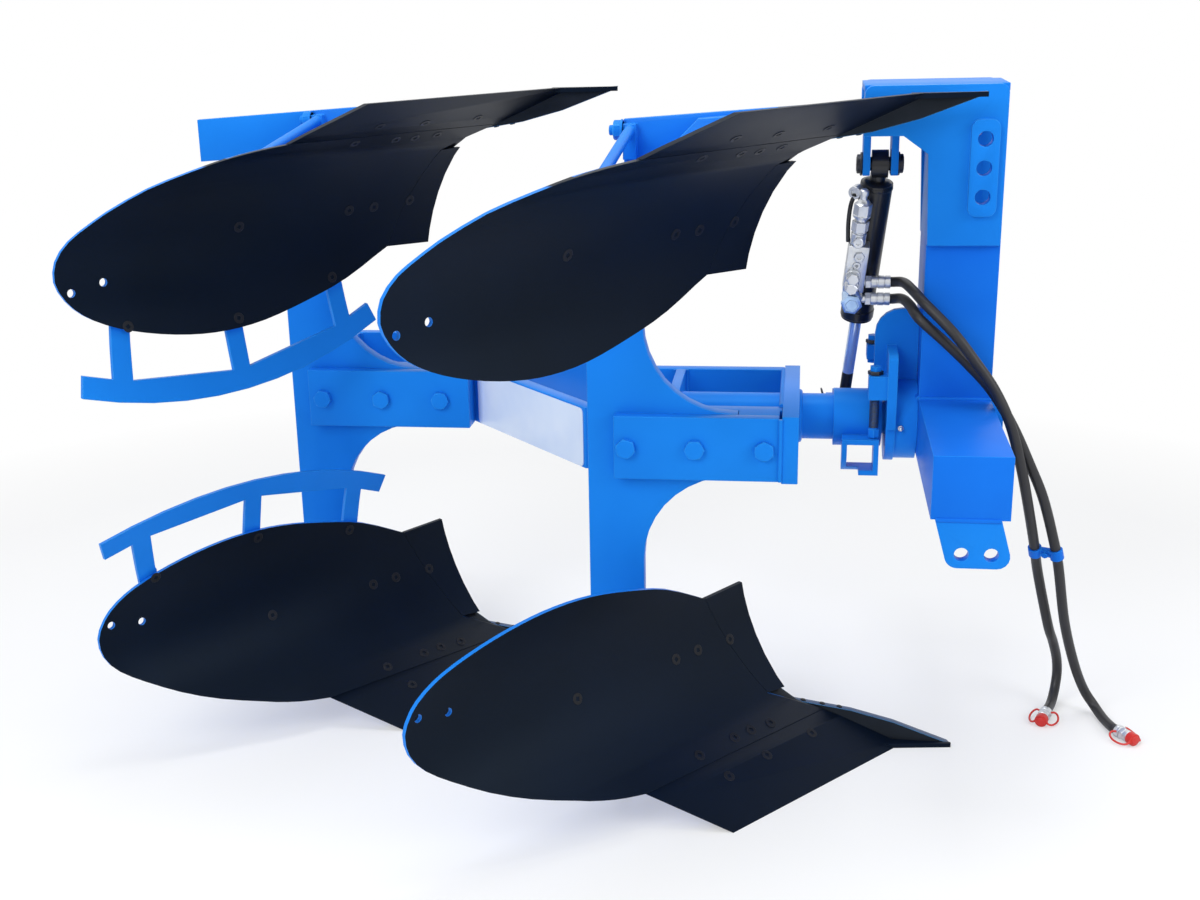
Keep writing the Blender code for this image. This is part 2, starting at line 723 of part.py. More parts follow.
def doubler(rear, front):
    half = RAIL_HEIGHT / 2
    return box("doubler", (rear, DOUBLER_FACE, -half), (front, DOUBLER_FACE + DOUBLER_THICKNESS, half))


def end_plate():
    half = RAIL_HEIGHT / 2 + END_PLATE_LIP
    far = RAIL_SPACING - RAIL_NEAR + RAIL_THICKNESS / 2
    plate = box("end_plate", (RAIL_FRONT + GAP, DOUBLER_FACE, -half),
                (RAIL_FRONT + GAP + END_PLATE_THICKNESS, far, half))
    bore = bar("cutter", (RAIL_FRONT - OVERRUN, 0, 0), (SLEEVE_REAR, 0, 0), SHAFT_RADIUS + GAP, 40)
    return cut(plate, bore)


def rib(place, shift_y):
    half = RAIL_HEIGHT / 2
    low = (place - RIB_THICKNESS / 2, RUNG + shift_y + GAP, -half)
    high = (place + RIB_THICKNESS / 2, RUNG + shift_y + RAIL_SPACING - RAIL_THICKNESS - GAP, half)
    return box("rib", low, high)


def turned(name, profile_points, sides=40):
    """Round piece about the X axis, from a profile of (x, radius) points, front to rear."""
    shape = bmesh.new()
    verts = [shape.verts.new((radius, 0.0, -x)) for x, radius in profile_points]
    for first, last in zip(verts, verts[1:]):
        shape.edges.new((first, last))
    thing = from_bmesh(name, shape)
    screw = thing.modifiers.new("Turn", "SCREW")
    screw.steps = sides
    screw.render_steps = sides
    screw.use_merge_vertices = True
    screw.merge_threshold = GAP / 30
    thing.matrix_world = Matrix.Rotation(-math.pi / 2, 4, "Y")
    return baked(thing)


def turnover_shaft():
    rear = RIB_PLACES[0] + RIB_THICKNESS / 2 + GAP
    shoulder = SLEEVE_FRONT
    front = COLUMN_FRONT + END_NUT_LENGTH + 2 * RUNNING
    nut_back = COLUMN_FRONT + RUNNING
    points = [
        (rear, 0.0), (rear, SHAFT_RADIUS), (shoulder, SHAFT_RADIUS), (shoulder, JOURNAL_RADIUS),
        (nut_back, JOURNAL_RADIUS), (nut_back, END_NUT_RADIUS), (front, END_NUT_RADIUS), (front, 0.0),
    ]
    return turned("turnover_shaft", points)


def lever_outline():
    """Outline of a lever plate: a strap round the sleeve and the rod's eye."""
    lean = math.degrees(math.acos((LEVER_ROOT_RADIUS - LEVER_EYE_RADIUS) / LEVER_RADIUS))
    root = arc((0.0, 0.0), LEVER_ROOT_RADIUS, lean, 360 - lean, 16)
    eye = arc((LEVER_RADIUS, 0.0), LEVER_EYE_RADIUS, -lean, lean, 8)
    return root + eye


def turnover_arm():
    """Sleeve on the shaft with two lever plates, the end of the rod's pin and the stop box."""
    sleeve = bar("turnover_arm", (SLEEVE_REAR, 0, 0), (SLEEVE_FRONT, 0, 0), SLEEVE_RADIUS, 40)
    plates = [cross_plate("lever", lever_outline(), x, x + LEVER_THICKNESS) for x in (LEVER_REAR, LEVER_FRONT)]
    stub_end = EYE_X - ROD_EYE_WIDTH / 2 - STUB_CLEARANCE
    stub = bar("stub", (LEVER_REAR, LEVER_RADIUS, 0), (stub_end, LEVER_RADIUS, 0), STUB_RADIUS, 16)
    head = bar("head", (LEVER_REAR - STUB_HEAD_LENGTH, LEVER_RADIUS, 0),
               (LEVER_REAR + LEVER_THICKNESS / 2, LEVER_RADIUS, 0), STUB_HEAD_RADIUS, 16)
    stop_box = box("stop_box", (STOP_BOX_REAR, -STOP_BOX_NEAR, -STOP_BOX_BOTTOM),
                   (STOP_BOX_FRONT, -STOP_BOX_FAR, -STOP_BOX_TOP))
    hollow = box("cutter", (STOP_BOX_REAR + STOP_BOX_WALL, -STOP_BOX_NEAR - OVERRUN,
                            -STOP_BOX_BOTTOM + STOP_BOX_WALL),
                 (STOP_BOX_FRONT - STOP_BOX_WALL, 0.0, -STOP_BOX_TOP - STOP_BOX_WALL))
    swept = bar("cutter", (STOP_BOX_REAR - OVERRUN, 0, 0), (ROD_SWEEP_FRONT, 0, 0), LEVER_RADIUS + OVERRUN, 40)
    kept = bar("cutter", (STOP_BOX_REAR - 2 * OVERRUN, 0, 0), (ROD_SWEEP_FRONT + OVERRUN, 0, 0), ROD_SWEEP_RADIUS, 40)
    stop_box = cut(stop_box, hollow, cut(swept, kept))
    arm = join(sleeve, *plates, stub, head, stop_box)
    bore = bar("cutter", (SLEEVE_REAR - OVERRUN, 0, 0), (SLEEVE_FRONT + OVERRUN, 0, 0), SHAFT_RADIUS + GAP, 40)
    return cut(arm, bore)


# Headstock

def tower_plate(name, side):
    """Side plate of the tower with its pad for the top link; side is -1 near and 1 far."""
    corners = [
        (TOWER_REAR, TOWER_TOP, TOWER_FILLET), (TOWER_REAR, ARM_BOTTOM, 0.0), (ARM_CORNER, ARM_BOTTOM, 0.0),
        (TOWER_BACK, ARM_BOTTOM - ARM_CHAMFER, 0.0), (COLUMN_REAR, TOWER_BOTTOM, 0.0),
        (TOWER_FRONT, TOWER_BOTTOM, 0.0), (TOWER_FRONT, TOWER_TOP, TOWER_FILLET),
    ]
    inner = COLUMN_HALF_WIDTH + GAP
    outer = inner + TOWER_THICKNESS
    plate = side_plate(name, rounded(corners), *sorted((side * inner, side * outer)))
    pad_corners = [(PAD_REAR, PAD_BOTTOM, PAD_FILLET), (PAD_FRONT, PAD_BOTTOM, PAD_FILLET),
                   (PAD_FRONT, PAD_TOP, PAD_FILLET), (PAD_REAR, PAD_TOP, PAD_FILLET)]
    pad = side_plate("pad", rounded(pad_corners),
                     *sorted((side * (outer - GAP), side * (outer + PAD_THICKNESS))))
    holes = []
    for index in range(3):
        z = LINK_HOLE_TOP - index * LINK_HOLE_SPACING
        reach = side * (outer + PAD_THICKNESS + OVERRUN)
        holes.append(bar("cutter", (LINK_HOLE_X, 0, z), (LINK_HOLE_X, reach, z), LINK_HOLE_RADIUS, 24))
    return cut(join(plate, pad), *holes)


def clevis_plates():
    """Two plates under the tower's roof that hold the cylinder's upper pin."""
    rear = PIN_X - CLEVIS_GAP / 2 - CLEVIS_THICKNESS
    front = PIN_X + CLEVIS_GAP / 2
    top, low = TOWER_TOP - ROOF_THICKNESS / 2, PIN_Z - CLEVIS_DROP
    corners = [(-CLEVIS_HALF_WIDTH, low, CLEVIS_FILLET), (CLEVIS_HALF_WIDTH, low, CLEVIS_FILLET),
               (CLEVIS_HALF_WIDTH, top, 0.0), (-CLEVIS_HALF_WIDTH, top, 0.0)]
    return [cross_plate("clevis", rounded(corners), x, x + CLEVIS_THICKNESS) for x in (rear, front)]


def tower_column():
    """Box column on the beam, the web and roof between the side plates, and the clevis."""
    half = COLUMN_HALF_WIDTH
    base = BEAM_HALF_HEIGHT + GAP
    column = box("tower_column", (COLUMN_REAR, -half, base), (COLUMN_FRONT, half, COLUMN_TOP))
    hollow = box("cutter", (COLUMN_REAR + COLUMN_WALL, -half + COLUMN_WALL, base - OVERRUN),
                 (COLUMN_FRONT - COLUMN_WALL, half - COLUMN_WALL, COLUMN_TOP - COLUMN_WALL))
    column = cut(column, hollow)
    web = box("web", (COLUMN_REAR, -half, COLUMN_TOP - COLUMN_WALL / 2),
              (COLUMN_REAR + WEB_THICKNESS, half, TOWER_TOP - ROOF_THICKNESS / 2))
    roof = box("roof", (TOWER_REAR, -half, TOWER_TOP - ROOF_THICKNESS), (COLUMN_FRONT, half, TOWER_TOP))
    tower = join(column, web, roof, *clevis_plates())
    hole = bar("cutter", (TOWER_REAR - OVERRUN, 0, PIN_Z), (COLUMN_REAR - OVERRUN, 0, PIN_Z), PIN_RADIUS + GAP, 24)
    return cut(tower, hole)


def cross_beam():
    beam = box("cross_beam", (COLUMN_REAR, -BEAM_HALF_LENGTH, -BEAM_HALF_HEIGHT),
               (COLUMN_FRONT, BEAM_HALF_LENGTH, BEAM_HALF_HEIGHT))
    hollow = box("cutter", (COLUMN_REAR + BEAM_WALL, -BEAM_HALF_LENGTH + BEAM_WALL, -BEAM_HALF_HEIGHT + BEAM_WALL),
                 (COLUMN_FRONT - BEAM_WALL, BEAM_HALF_LENGTH - BEAM_WALL, BEAM_HALF_HEIGHT - BEAM_WALL))
    bore = bar("cutter", (COLUMN_REAR - OVERRUN, 0, 0), (COLUMN_FRONT + OVERRUN, 0, 0), JOURNAL_RADIUS + RUNNING, 40)
    return cut(cut(beam, hollow), bore)


def hitch_lug(side):
    top = -BEAM_HALF_HEIGHT - GAP
    low = top - LUG_DEPTH
    corners = [(LUG_TOP_REAR, top, 0.0), (LUG_TOP_REAR + LUG_LEAN, low, LUG_FILLET),
               (LUG_TOP_FRONT + LUG_LEAN, low, LUG_FILLET), (LUG_TOP_FRONT, top, 0.0)]
    outer = side * BEAM_HALF_LENGTH
    inner = side * (BEAM_HALF_LENGTH - LUG_THICKNESS)
    plate = side_plate("lug", rounded(corners), *sorted((outer, inner)))
    holes = []
    for x in (LUG_HOLE_REAR, LUG_HOLE_FRONT):
        z = top - LUG_HOLE_DEPTH
        holes.append(bar("cutter", (x, inner - side * OVERRUN, z), (x, outer + side * OVERRUN, z),
                         LUG_HOLE_RADIUS, 24))
    return cut(plate, *holes)


def hub_bracket():
    """Carrier plate and hub of the journal, gusset to the column and the two stop blocks."""
    front = CARRIER_REAR + CARRIER_THICKNESS
    half = CARRIER_HALF_WIDTH
    outline = [*arc((0.0, 0.0), CARRIER_RADIUS, 180, 360, 18), (half, 0.0),
               *arc((half - CARRIER_FILLET, CARRIER_TOP - CARRIER_FILLET), CARRIER_FILLET, 0, 90, 4),
               *arc((CARRIER_FILLET - half, CARRIER_TOP - CARRIER_FILLET), CARRIER_FILLET, 90, 180, 4),
               (-half, 0.0)]
    carrier = cross_plate("hub_bracket", outline, CARRIER_REAR, front)
    hub = bar("hub", (CARRIER_REAR + CARRIER_THICKNESS / 2, 0, 0), (COLUMN_REAR - GAP, 0, 0), HUB_RADIUS, 40)
    corners = [(COLUMN_REAR - GAP, HUB_RADIUS / 2, 0.0), (COLUMN_REAR - GAP, GUSSET_TOP, 0.0),
               (GUSSET_REAR, GUSSET_TOP, GUSSET_FILLET), (GUSSET_REAR, GUSSET_BOTTOM, 0.0),
               (CARRIER_REAR + GAP, GUSSET_BOTTOM, 0.0), (CARRIER_REAR + GAP, HUB_RADIUS / 2, 0.0)]
    gusset = side_plate("gusset", rounded(corners), -GUSSET_THICKNESS / 2, GUSSET_THICKNESS / 2)
    near = box("block", (BLOCK_REAR, -BLOCK_OUTER, BLOCK_NEAR_LOW),
               (front - GAP, -BLOCK_INNER, BLOCK_NEAR_LOW + BLOCK_NEAR_HEIGHT))
    far = box("block", (BLOCK_REAR, BLOCK_INNER, BLOCK_FAR_LOW),
              (front - GAP, BLOCK_OUTER, BLOCK_FAR_LOW + BLOCK_FAR_HEIGHT))
    bracket = join(carrier, hub, gusset, near, far)
    bore = bar("cutter", (CARRIER_REAR - OVERRUN, 0, 0), (COLUMN_REAR + OVERRUN, 0, 0), JOURNAL_RADIUS + RUNNING, 40)
    holes = [bar("cutter", (STOP_BOLT_X, side * STOP_BOLT_Y, 0), (STOP_BOLT_X, side * STOP_BOLT_Y, CARRIER_TOP),
                 STOP_BOLT_RADIUS + GAP, 20) for side in (-1, 1)]
    return cut(bracket, bore, *holes)


def stop_bolt(side, foot, block_low, block_high):
    """Screw through a stop block: head on the block, foot just over the stop box."""
    x, y = STOP_BOLT_X, side * STOP_BOLT_Y
    head = bar("stop_bolt", (x, y, block_high + GAP), (x, y, block_high + GAP + STOP_BOLT_HEAD_HEIGHT),
               STOP_BOLT_HEAD, 6)
    shank = bar("shank", (x, y, foot), (x, y, block_high + GAP * 2), STOP_BOLT_RADIUS, 20)
    low_nut_top = min(foot + STOP_BOLT_HEAD_HEIGHT, block_low - GAP)
    nut = bar("nut", (x, y, foot), (x, y, low_nut_top), STOP_BOLT_HEAD, 6)
    return join(head, shank, nut)


# Cylinder

def cylinder_frame():
    """Start and direction of the cylinder, from its upper pin to the rod's eye."""
    pin = Vector((PIN_X, 0.0, PIN_Z))
    eye = Vector((EYE_X, LEVER_RADIUS, 0.0))
    return pin, eye, (eye - pin).normalized()


def cylinder_barrel():
    pin, eye, down = cylinder_frame()
    half = BARREL_EYE_WIDTH / 2
    ring = bar("cylinder_barrel", pin - RIGHT * half, pin + RIGHT * half, BARREL_EYE_RADIUS, 28)
    neck = bar("neck", pin, pin + down * (BARREL_TOP + GAP), BARREL_NECK_RADIUS, 20)
    body = bar("body", pin + down * BARREL_TOP, pin + down * BARREL_LENGTH, BARREL_RADIUS, 28)
    barrel = join(ring, neck, body)
    pin_hole = bar("cutter", pin - RIGHT * BARREL_EYE_RADIUS, pin + RIGHT * BARREL_EYE_RADIUS,
                   PIN_RADIUS + RUNNING, 24)
    bore = bar("cutter", pin + down * (BARREL_LENGTH - BARREL_BORE_DEPTH), pin + down * (BARREL_LENGTH + OVERRUN),
               ROD_RADIUS + RUNNING, 24)
    return cut(barrel, pin_hole, bore)


def cylinder_rod():
    pin, eye, down = cylinder_frame()
    rod_top = pin + down * (BARREL_LENGTH - ROD_INSERTED)
    rod = bar("cylinder_rod", rod_top, eye, ROD_RADIUS, 24)
    half = ROD_EYE_WIDTH / 2
    ring = bar("ring", eye - RIGHT * half, eye + RIGHT * half, ROD_EYE_RADIUS, 24)
    trim = [box("cutter", (eye.x + side * half, eye.y - OVERRUN * 2, eye.z - OVERRUN * 2),
                (eye.x + side * (half + OVERRUN), eye.y + OVERRUN * 2, eye.z + ROD_EYE_RADIUS / 2))
            for side in (1,)]
    trim += [box("cutter", (eye.x - half - OVERRUN, eye.y - OVERRUN * 2, eye.z - OVERRUN * 2),
                 (eye.x - half, eye.y + OVERRUN * 2, eye.z + ROD_EYE_RADIUS / 2))]
    return cut(join(rod, ring), *trim)


def valve_block():
    """Valve on the barrel's near side with the two ferrules that the hoses leave."""
    pin, eye, down = cylinder_frame()
    top = pin + down * VALVE_TOP
    low = pin + down * VALVE_BOTTOM
    side = down.cross(RIGHT).normalized()
    if side.y > 0:
        side = -side
    across = side.cross(down).normalized()
    middle = (top + low) / 2 + side * (BARREL_RADIUS + GAP + VALVE_DEPTH / 2) - across * VALVE_SHIFT
    shape = bmesh.new()
    bmesh.ops.create_cube(shape, size=1.0)
    bmesh.ops.scale(shape, vec=(VALVE_WIDTH, VALVE_DEPTH, (low - top).length), verts=shape.verts)
    frame = Matrix((across, side, down)).transposed().to_4x4()
    bmesh.ops.transform(shape, matrix=Matrix.Translation(middle) @ frame, verts=shape.verts)
    block = from_bmesh("valve_block", shape)
    ferrules = []
    for points in (HOSE_UPPER_POINTS, HOSE_LOWER_POINTS):
        end = Vector(points[0]) - RIGHT * GAP * 2
        start = Vector((middle.x, end.y, end.z))
        ferrules.append(bar("ferrule", start, end, FERRULE_RADIUS, 16))
    return join(block, *ferrules)


def hose(name, points):
    """Hose through hand-chosen points, as a tube along a smooth curve."""
    route = smooth(points, 2)
    curve = bpy.data.curves.new(name, "CURVE")
    curve.dimensions = "3D"
    curve.bevel_depth = HOSE_RADIUS
    curve.bevel_resolution = 2
    curve.use_fill_caps = True
    spline = curve.splines.new("POLY")
    spline.points.add(len(route) - 1)
    for point, spot in zip(spline.points, route):
        point.co = (*spot, 1.0)
    thing = bpy.data.objects.new(name, curve)
    PLOUGH.objects.link(thing)
    return baked(thing)


def hose_end(name, points):
    """Quick coupler with its dust cap at the end of a hose."""
    run = (Vector(points[-1]) - Vector(points[-2])).normalized()
    start = Vector(points[-1]) + run * GAP
    middle = start + run * COUPLER_LENGTH
    end = middle + run * CAP_LENGTH
    coupler = bar(name, start, middle, COUPLER_RADIUS, 16)
    cap = bar("cap", middle - run * GAP, end, CAP_RADIUS, 16)
    return join(coupler, cap)


# Assembly

def empty(name, place, parent=None):
    thing = bpy.data.objects.new(name, None)
    PLOUGH.objects.link(thing)
    thing.location = Vector(place) - (Vector(PLACES[parent.name]) if parent else Vector())
    thing.parent = parent
    PLACES[name] = tuple(place)
    return thing


def put(thing, name, finish, parent, shift=(0.0, 0.0, 0.0)):
    """Name a finished piece, give it its finish and hang it on its parent."""
    thing.name = name
    thing.data.name = name
    thing.data.materials.clear()
    thing.data.materials.append(finish_material(name, finish))
    thing.data.shade_smooth()
    thing.data.set_sharp_from_angle(angle=math.radians(30.0))
    thing.parent = parent
    thing.location = Vector(shift) - Vector(PLACES[parent.name])
    return thing


def mirrored(thing, name):
    """Copy of a piece, mirrored in the level plane through the turnover axis."""
    shape = bmesh.new()
    shape.from_mesh(thing.data)
    bmesh.ops.transform(shape, matrix=Matrix.Diagonal((1.0, 1.0, -1.0, 1.0)), verts=shape.verts)
    bmesh.ops.reverse_faces(shape, faces=shape.faces)
    return from_bmesh(name, shape)


def copy_of(thing, name):
    return mesh_object(name, thing.data.copy())


def body_pieces():
    """The pieces that all four bodies share, as (name, maker, finish)."""
    return [
        ("moldboard", moldboard, "black_paint"),
        ("shin", shin, "black_paint"),
        ("share", share, "black_paint"),
        ("frog", frog, "blue_paint"),
        ("landside", landside, "blue_paint"),
    ]


def build():
    root = empty("plough", (0.0, 0.0, 0.0))
    turnover = empty("turnover_axis", (CARRIER_REAR, 0.0, 0.0), root)
    pin, eye, down = cylinder_frame()
    swing = empty("swing_axis", pin, root)
    slide = empty("slide_axis", eye, swing)
    rear_shift = (-BODY_SPACING, FURROW_WIDTH, 0.0)

    for name, maker, finish in body_pieces():
        lower = maker()
        upper = mirrored(lower, "upper")
        put(copy_of(lower, "rear"), f"{name}_rear_lower", finish, turnover, rear_shift)
        put(copy_of(upper, "rear"), f"{name}_rear_upper", finish, turnover, rear_shift)
        put(lower, f"{name}_front_lower", finish, turnover)
        put(upper, f"{name}_front_upper", finish, turnover)

    for name, maker in (("landside_heel", landside_heel), ("guard_bar", guard_bar)):
        lower = maker()
        put(mirrored(lower, "upper"), f"{name}_upper", "blue_paint", turnover, rear_shift)
        put(lower, f"{name}_lower", "blue_paint", turnover, rear_shift)

    front_leg = leg()
    put(copy_of(front_leg, "rear"), "leg_rear", "blue_paint", turnover, rear_shift)
    put(front_leg, "leg_front", "blue_paint", turnover)
    put(doubler(DOUBLER_REAR, DOUBLER_FRONT), "doubler_front", "blue_paint", turnover)
    put(doubler(REAR_DOUBLER_REAR, REAR_DOUBLER_FRONT), "doubler_rear", "blue_paint", turnover, rear_shift)
    put(near_rail(), "rail_near", "blue_paint", turnover)
    put(rail("rail_far", RAIL_SPACING - RAIL_NEAR), "rail_far", "blue_paint", turnover)
    put(end_plate(), "end_plate", "blue_paint", turnover)
    for index, place in enumerate(RIB_PLACES):
        shift = 0.0 if place > RAIL_BEND_FRONT else FURROW_WIDTH
        put(rib(place, shift), ("rib_front", "rib_middle", "rib_rear")[index], "blue_paint", turnover)
    put(turnover_shaft(), "turnover_shaft", "blue_paint", turnover)
    put(turnover_arm(), "turnover_arm", "blue_paint", turnover)

    put(tower_plate("near", -1), "tower_plate_near", "blue_paint", root)
    put(tower_plate("far", 1), "tower_plate_far", "blue_paint", root)
    put(tower_column(), "tower_column", "blue_paint", root)
    put(cross_beam(), "cross_beam", "blue_paint", root)
    put(hitch_lug(-1), "hitch_lug_near", "blue_paint", root)
    put(hitch_lug(1), "hitch_lug_far", "blue_paint", root)
    put(hub_bracket(), "hub_bracket", "blue_paint", root)
    near_foot = -STOP_BOX_TOP + STOP_CLEARANCE
    far_foot = STOP_BOX_BOTTOM + STOP_CLEARANCE
    put(stop_bolt(-1, near_foot, BLOCK_NEAR_LOW, BLOCK_NEAR_LOW + BLOCK_NEAR_HEIGHT),
        "stop_bolt_near", "blue_paint", root)
    put(stop_bolt(1, far_foot, BLOCK_FAR_LOW, BLOCK_FAR_LOW + BLOCK_FAR_HEIGHT),
        "stop_bolt_far", "blue_paint", root)
    put(bar("pin", pin - RIGHT * PIN_HALF_LENGTH, pin + RIGHT * PIN_HALF_LENGTH, PIN_RADIUS, 24),
        "cylinder_pin", "zinc", root)

    put(cylinder_barrel(), "cylinder_barrel", "black_paint", swing)
    put(valve_block(), "valve_block", "zinc", swing)
    put(cylinder_rod(), "cylinder_rod", "chrome", slide)

    for key, points in (("upper", HOSE_UPPER_POINTS), ("lower", HOSE_LOWER_POINTS)):
        put(hose("hose", points), f"hose_{key}", "rubber", root)
        put(hose_end("end", points), f"hose_end_{key}", "red_cap", root)

    centre_on_ground(root)


def centre_on_ground(root):
    """Lift the plough onto the ground and centre it over the origin, hoses left out."""
    bpy.context.view_layer.update()
    low = [math.inf] * 2
    high = [-math.inf] * 2
    for thing in PLOUGH.objects:
        if thing.type != "MESH" or thing.name.startswith("hose"):
            continue
        for vert in thing.data.vertices:
            spot = thing.matrix_world @ vert.co
            for axis in range(2):
                low[axis] = min(low[axis], spot[axis])
                high[axis] = max(high[axis], spot[axis])
    root.location = (-(low[0] + high[0]) / 2, -(low[1] + high[1]) / 2, GROUND)
    bpy.context.view_layer.update()


PLACES = {}
clear_scene()
PLOUGH = bpy.data.collections.new("moldboard_plough")
bpy.context.scene.collection.children.link(PLOUGH)
build()
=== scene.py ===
import json
import math
import bpy
from mathutils import Matrix, Vector

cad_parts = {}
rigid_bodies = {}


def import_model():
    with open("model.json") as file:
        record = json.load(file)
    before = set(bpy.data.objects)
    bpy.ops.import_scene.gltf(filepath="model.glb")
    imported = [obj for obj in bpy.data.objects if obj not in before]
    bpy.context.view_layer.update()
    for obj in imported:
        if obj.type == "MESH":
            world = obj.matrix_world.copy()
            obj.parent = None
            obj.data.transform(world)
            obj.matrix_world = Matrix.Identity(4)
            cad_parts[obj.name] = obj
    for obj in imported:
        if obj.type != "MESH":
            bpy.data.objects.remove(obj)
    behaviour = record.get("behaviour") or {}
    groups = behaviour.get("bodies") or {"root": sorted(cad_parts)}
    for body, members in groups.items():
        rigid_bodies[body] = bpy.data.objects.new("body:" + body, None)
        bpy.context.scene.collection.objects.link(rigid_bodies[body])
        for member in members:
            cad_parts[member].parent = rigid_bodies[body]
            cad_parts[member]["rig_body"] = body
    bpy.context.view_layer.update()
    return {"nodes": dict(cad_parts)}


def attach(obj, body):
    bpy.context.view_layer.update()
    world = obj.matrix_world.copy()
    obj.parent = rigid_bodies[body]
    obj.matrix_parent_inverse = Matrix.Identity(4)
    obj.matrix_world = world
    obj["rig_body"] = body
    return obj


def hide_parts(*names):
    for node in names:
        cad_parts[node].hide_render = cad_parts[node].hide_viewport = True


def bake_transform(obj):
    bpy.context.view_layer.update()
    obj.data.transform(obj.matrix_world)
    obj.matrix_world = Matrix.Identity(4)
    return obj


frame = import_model()
print("frame loaded:", len(frame["nodes"]), "nodes")

rowShift = Vector((0.2551091, 0.1356402, 0.58))     # from the turnover axis to the row's frame
right = Vector((1.0, 0.0, 0.0))


def rowPoint(point):
    return Vector(point) + rowShift


# camera at the photograph's angle

view = {
    "place": (0.172, -2.774, 0.759),
    "pitch": 0.310,
    "yaw": -0.172,
    "roll": -0.029,
    "lens": 46.566,
    "shift": (0.0506, 0.0282),
}


def makeCamera():
    pitch, yaw, roll = view["pitch"], view["yaw"], view["roll"]
    ahead = Vector((math.sin(yaw) * math.cos(pitch), math.cos(yaw) * math.cos(pitch), -math.sin(pitch)))
    level = Vector((math.cos(yaw), -math.sin(yaw), 0.0))
    up = level.cross(ahead)
    side = level * math.cos(roll) + up * math.sin(roll)
    top = up * math.cos(roll) - level * math.sin(roll)
    data = bpy.data.cameras.new("photoCamera")
    data.lens = view["lens"]
    data.sensor_width = 36.0
    data.shift_x, data.shift_y = view["shift"]
    camera = bpy.data.objects.new("photoCamera", data)
    bpy.context.scene.collection.objects.link(camera)
    turn = Matrix((side, top, -ahead)).transposed().to_4x4()
    camera.matrix_world = Matrix.Translation(rowPoint(view["place"])) @ turn
    bpy.context.scene.camera = camera


makeCamera()
print("camera placed")


# shader effects that several finishes share

def newNode(tree, kind, **values):
    node = tree.nodes.new(kind)
    for name, value in values.items():
        node.inputs[name].default_value = value
    return node


def mathNode(tree, operation, first, second=None, clamp=False):
    node = tree.nodes.new("ShaderNodeMath")
    node.operation = operation
    node.use_clamp = clamp
    for index, value in enumerate((first, second)):
        if value is None:
            continue
        if isinstance(value, (int, float)):
            node.inputs[index].default_value = value
        else:
            tree.links.new(value, node.inputs[index])
    return node.outputs[0]


def mixColour(tree, factor, first, second):
    node = tree.nodes.new("ShaderNodeMix")
    node.data_type = "RGBA"
    for index, value in ((0, factor), (6, first), (7, second)):
        if isinstance(value, (int, float)):
            node.inputs[index].default_value = value
        elif isinstance(value, tuple):
            node.inputs[index].default_value = (*value, 1.0)
        else:
            tree.links.new(value, node.inputs[index])
    return node.outputs[2]


def dotWith(tree, output, direction):
    node = tree.nodes.new("ShaderNodeVectorMath")
    node.operation = "DOT_PRODUCT"
    tree.links.new(output, node.inputs[0])
    if isinstance(direction, bpy.types.NodeSocket):
        tree.links.new(direction, node.inputs[1])
    else:
        node.inputs[1].default_value = direction
    return node.outputs["Value"]

def newGroup(name, inputs, outputs):
    group = bpy.data.node_groups.new(name, "ShaderNodeTree")
    for label, kind, value in inputs:
        socket = group.interface.new_socket(name=label, in_out="INPUT", socket_type=kind)
        socket.default_value = value
    for label, kind in outputs:
        group.interface.new_socket(name=label, in_out="OUTPUT", socket_type=kind)
    return group, group.nodes.new("NodeGroupInput"), group.nodes.new("NodeGroupOutput")


def makeEdgeGroup():
    group, entry, leave = newGroup(
        "roundedEdges",
        [("Radius", "NodeSocketFloat", 0.0015), ("Spread", "NodeSocketFloat", 6.0)],
        [("Mask", "NodeSocketFloat"), ("Normal", "NodeSocketVector")])
    bevel = group.nodes.new("ShaderNodeBevel")
    bevel.samples = 4
    group.links.new(entry.outputs["Radius"], bevel.inputs["Radius"])
    flat = group.nodes.new("ShaderNodeNewGeometry")
    dot = dotWith(group, bevel.outputs["Normal"], flat.outputs["Normal"])
    # the mask, how far the rounded normal turns from the flat one, marks the edges that get a painted highlight
    turned = mathNode(group, "SUBTRACT", 1.0, dot, True)
    mask = mathNode(group, "MULTIPLY", turned, entry.outputs["Spread"], True)
    group.links.new(mask, leave.inputs["Mask"])
    group.links.new(bevel.outputs["Normal"], leave.inputs["Normal"])
    return group


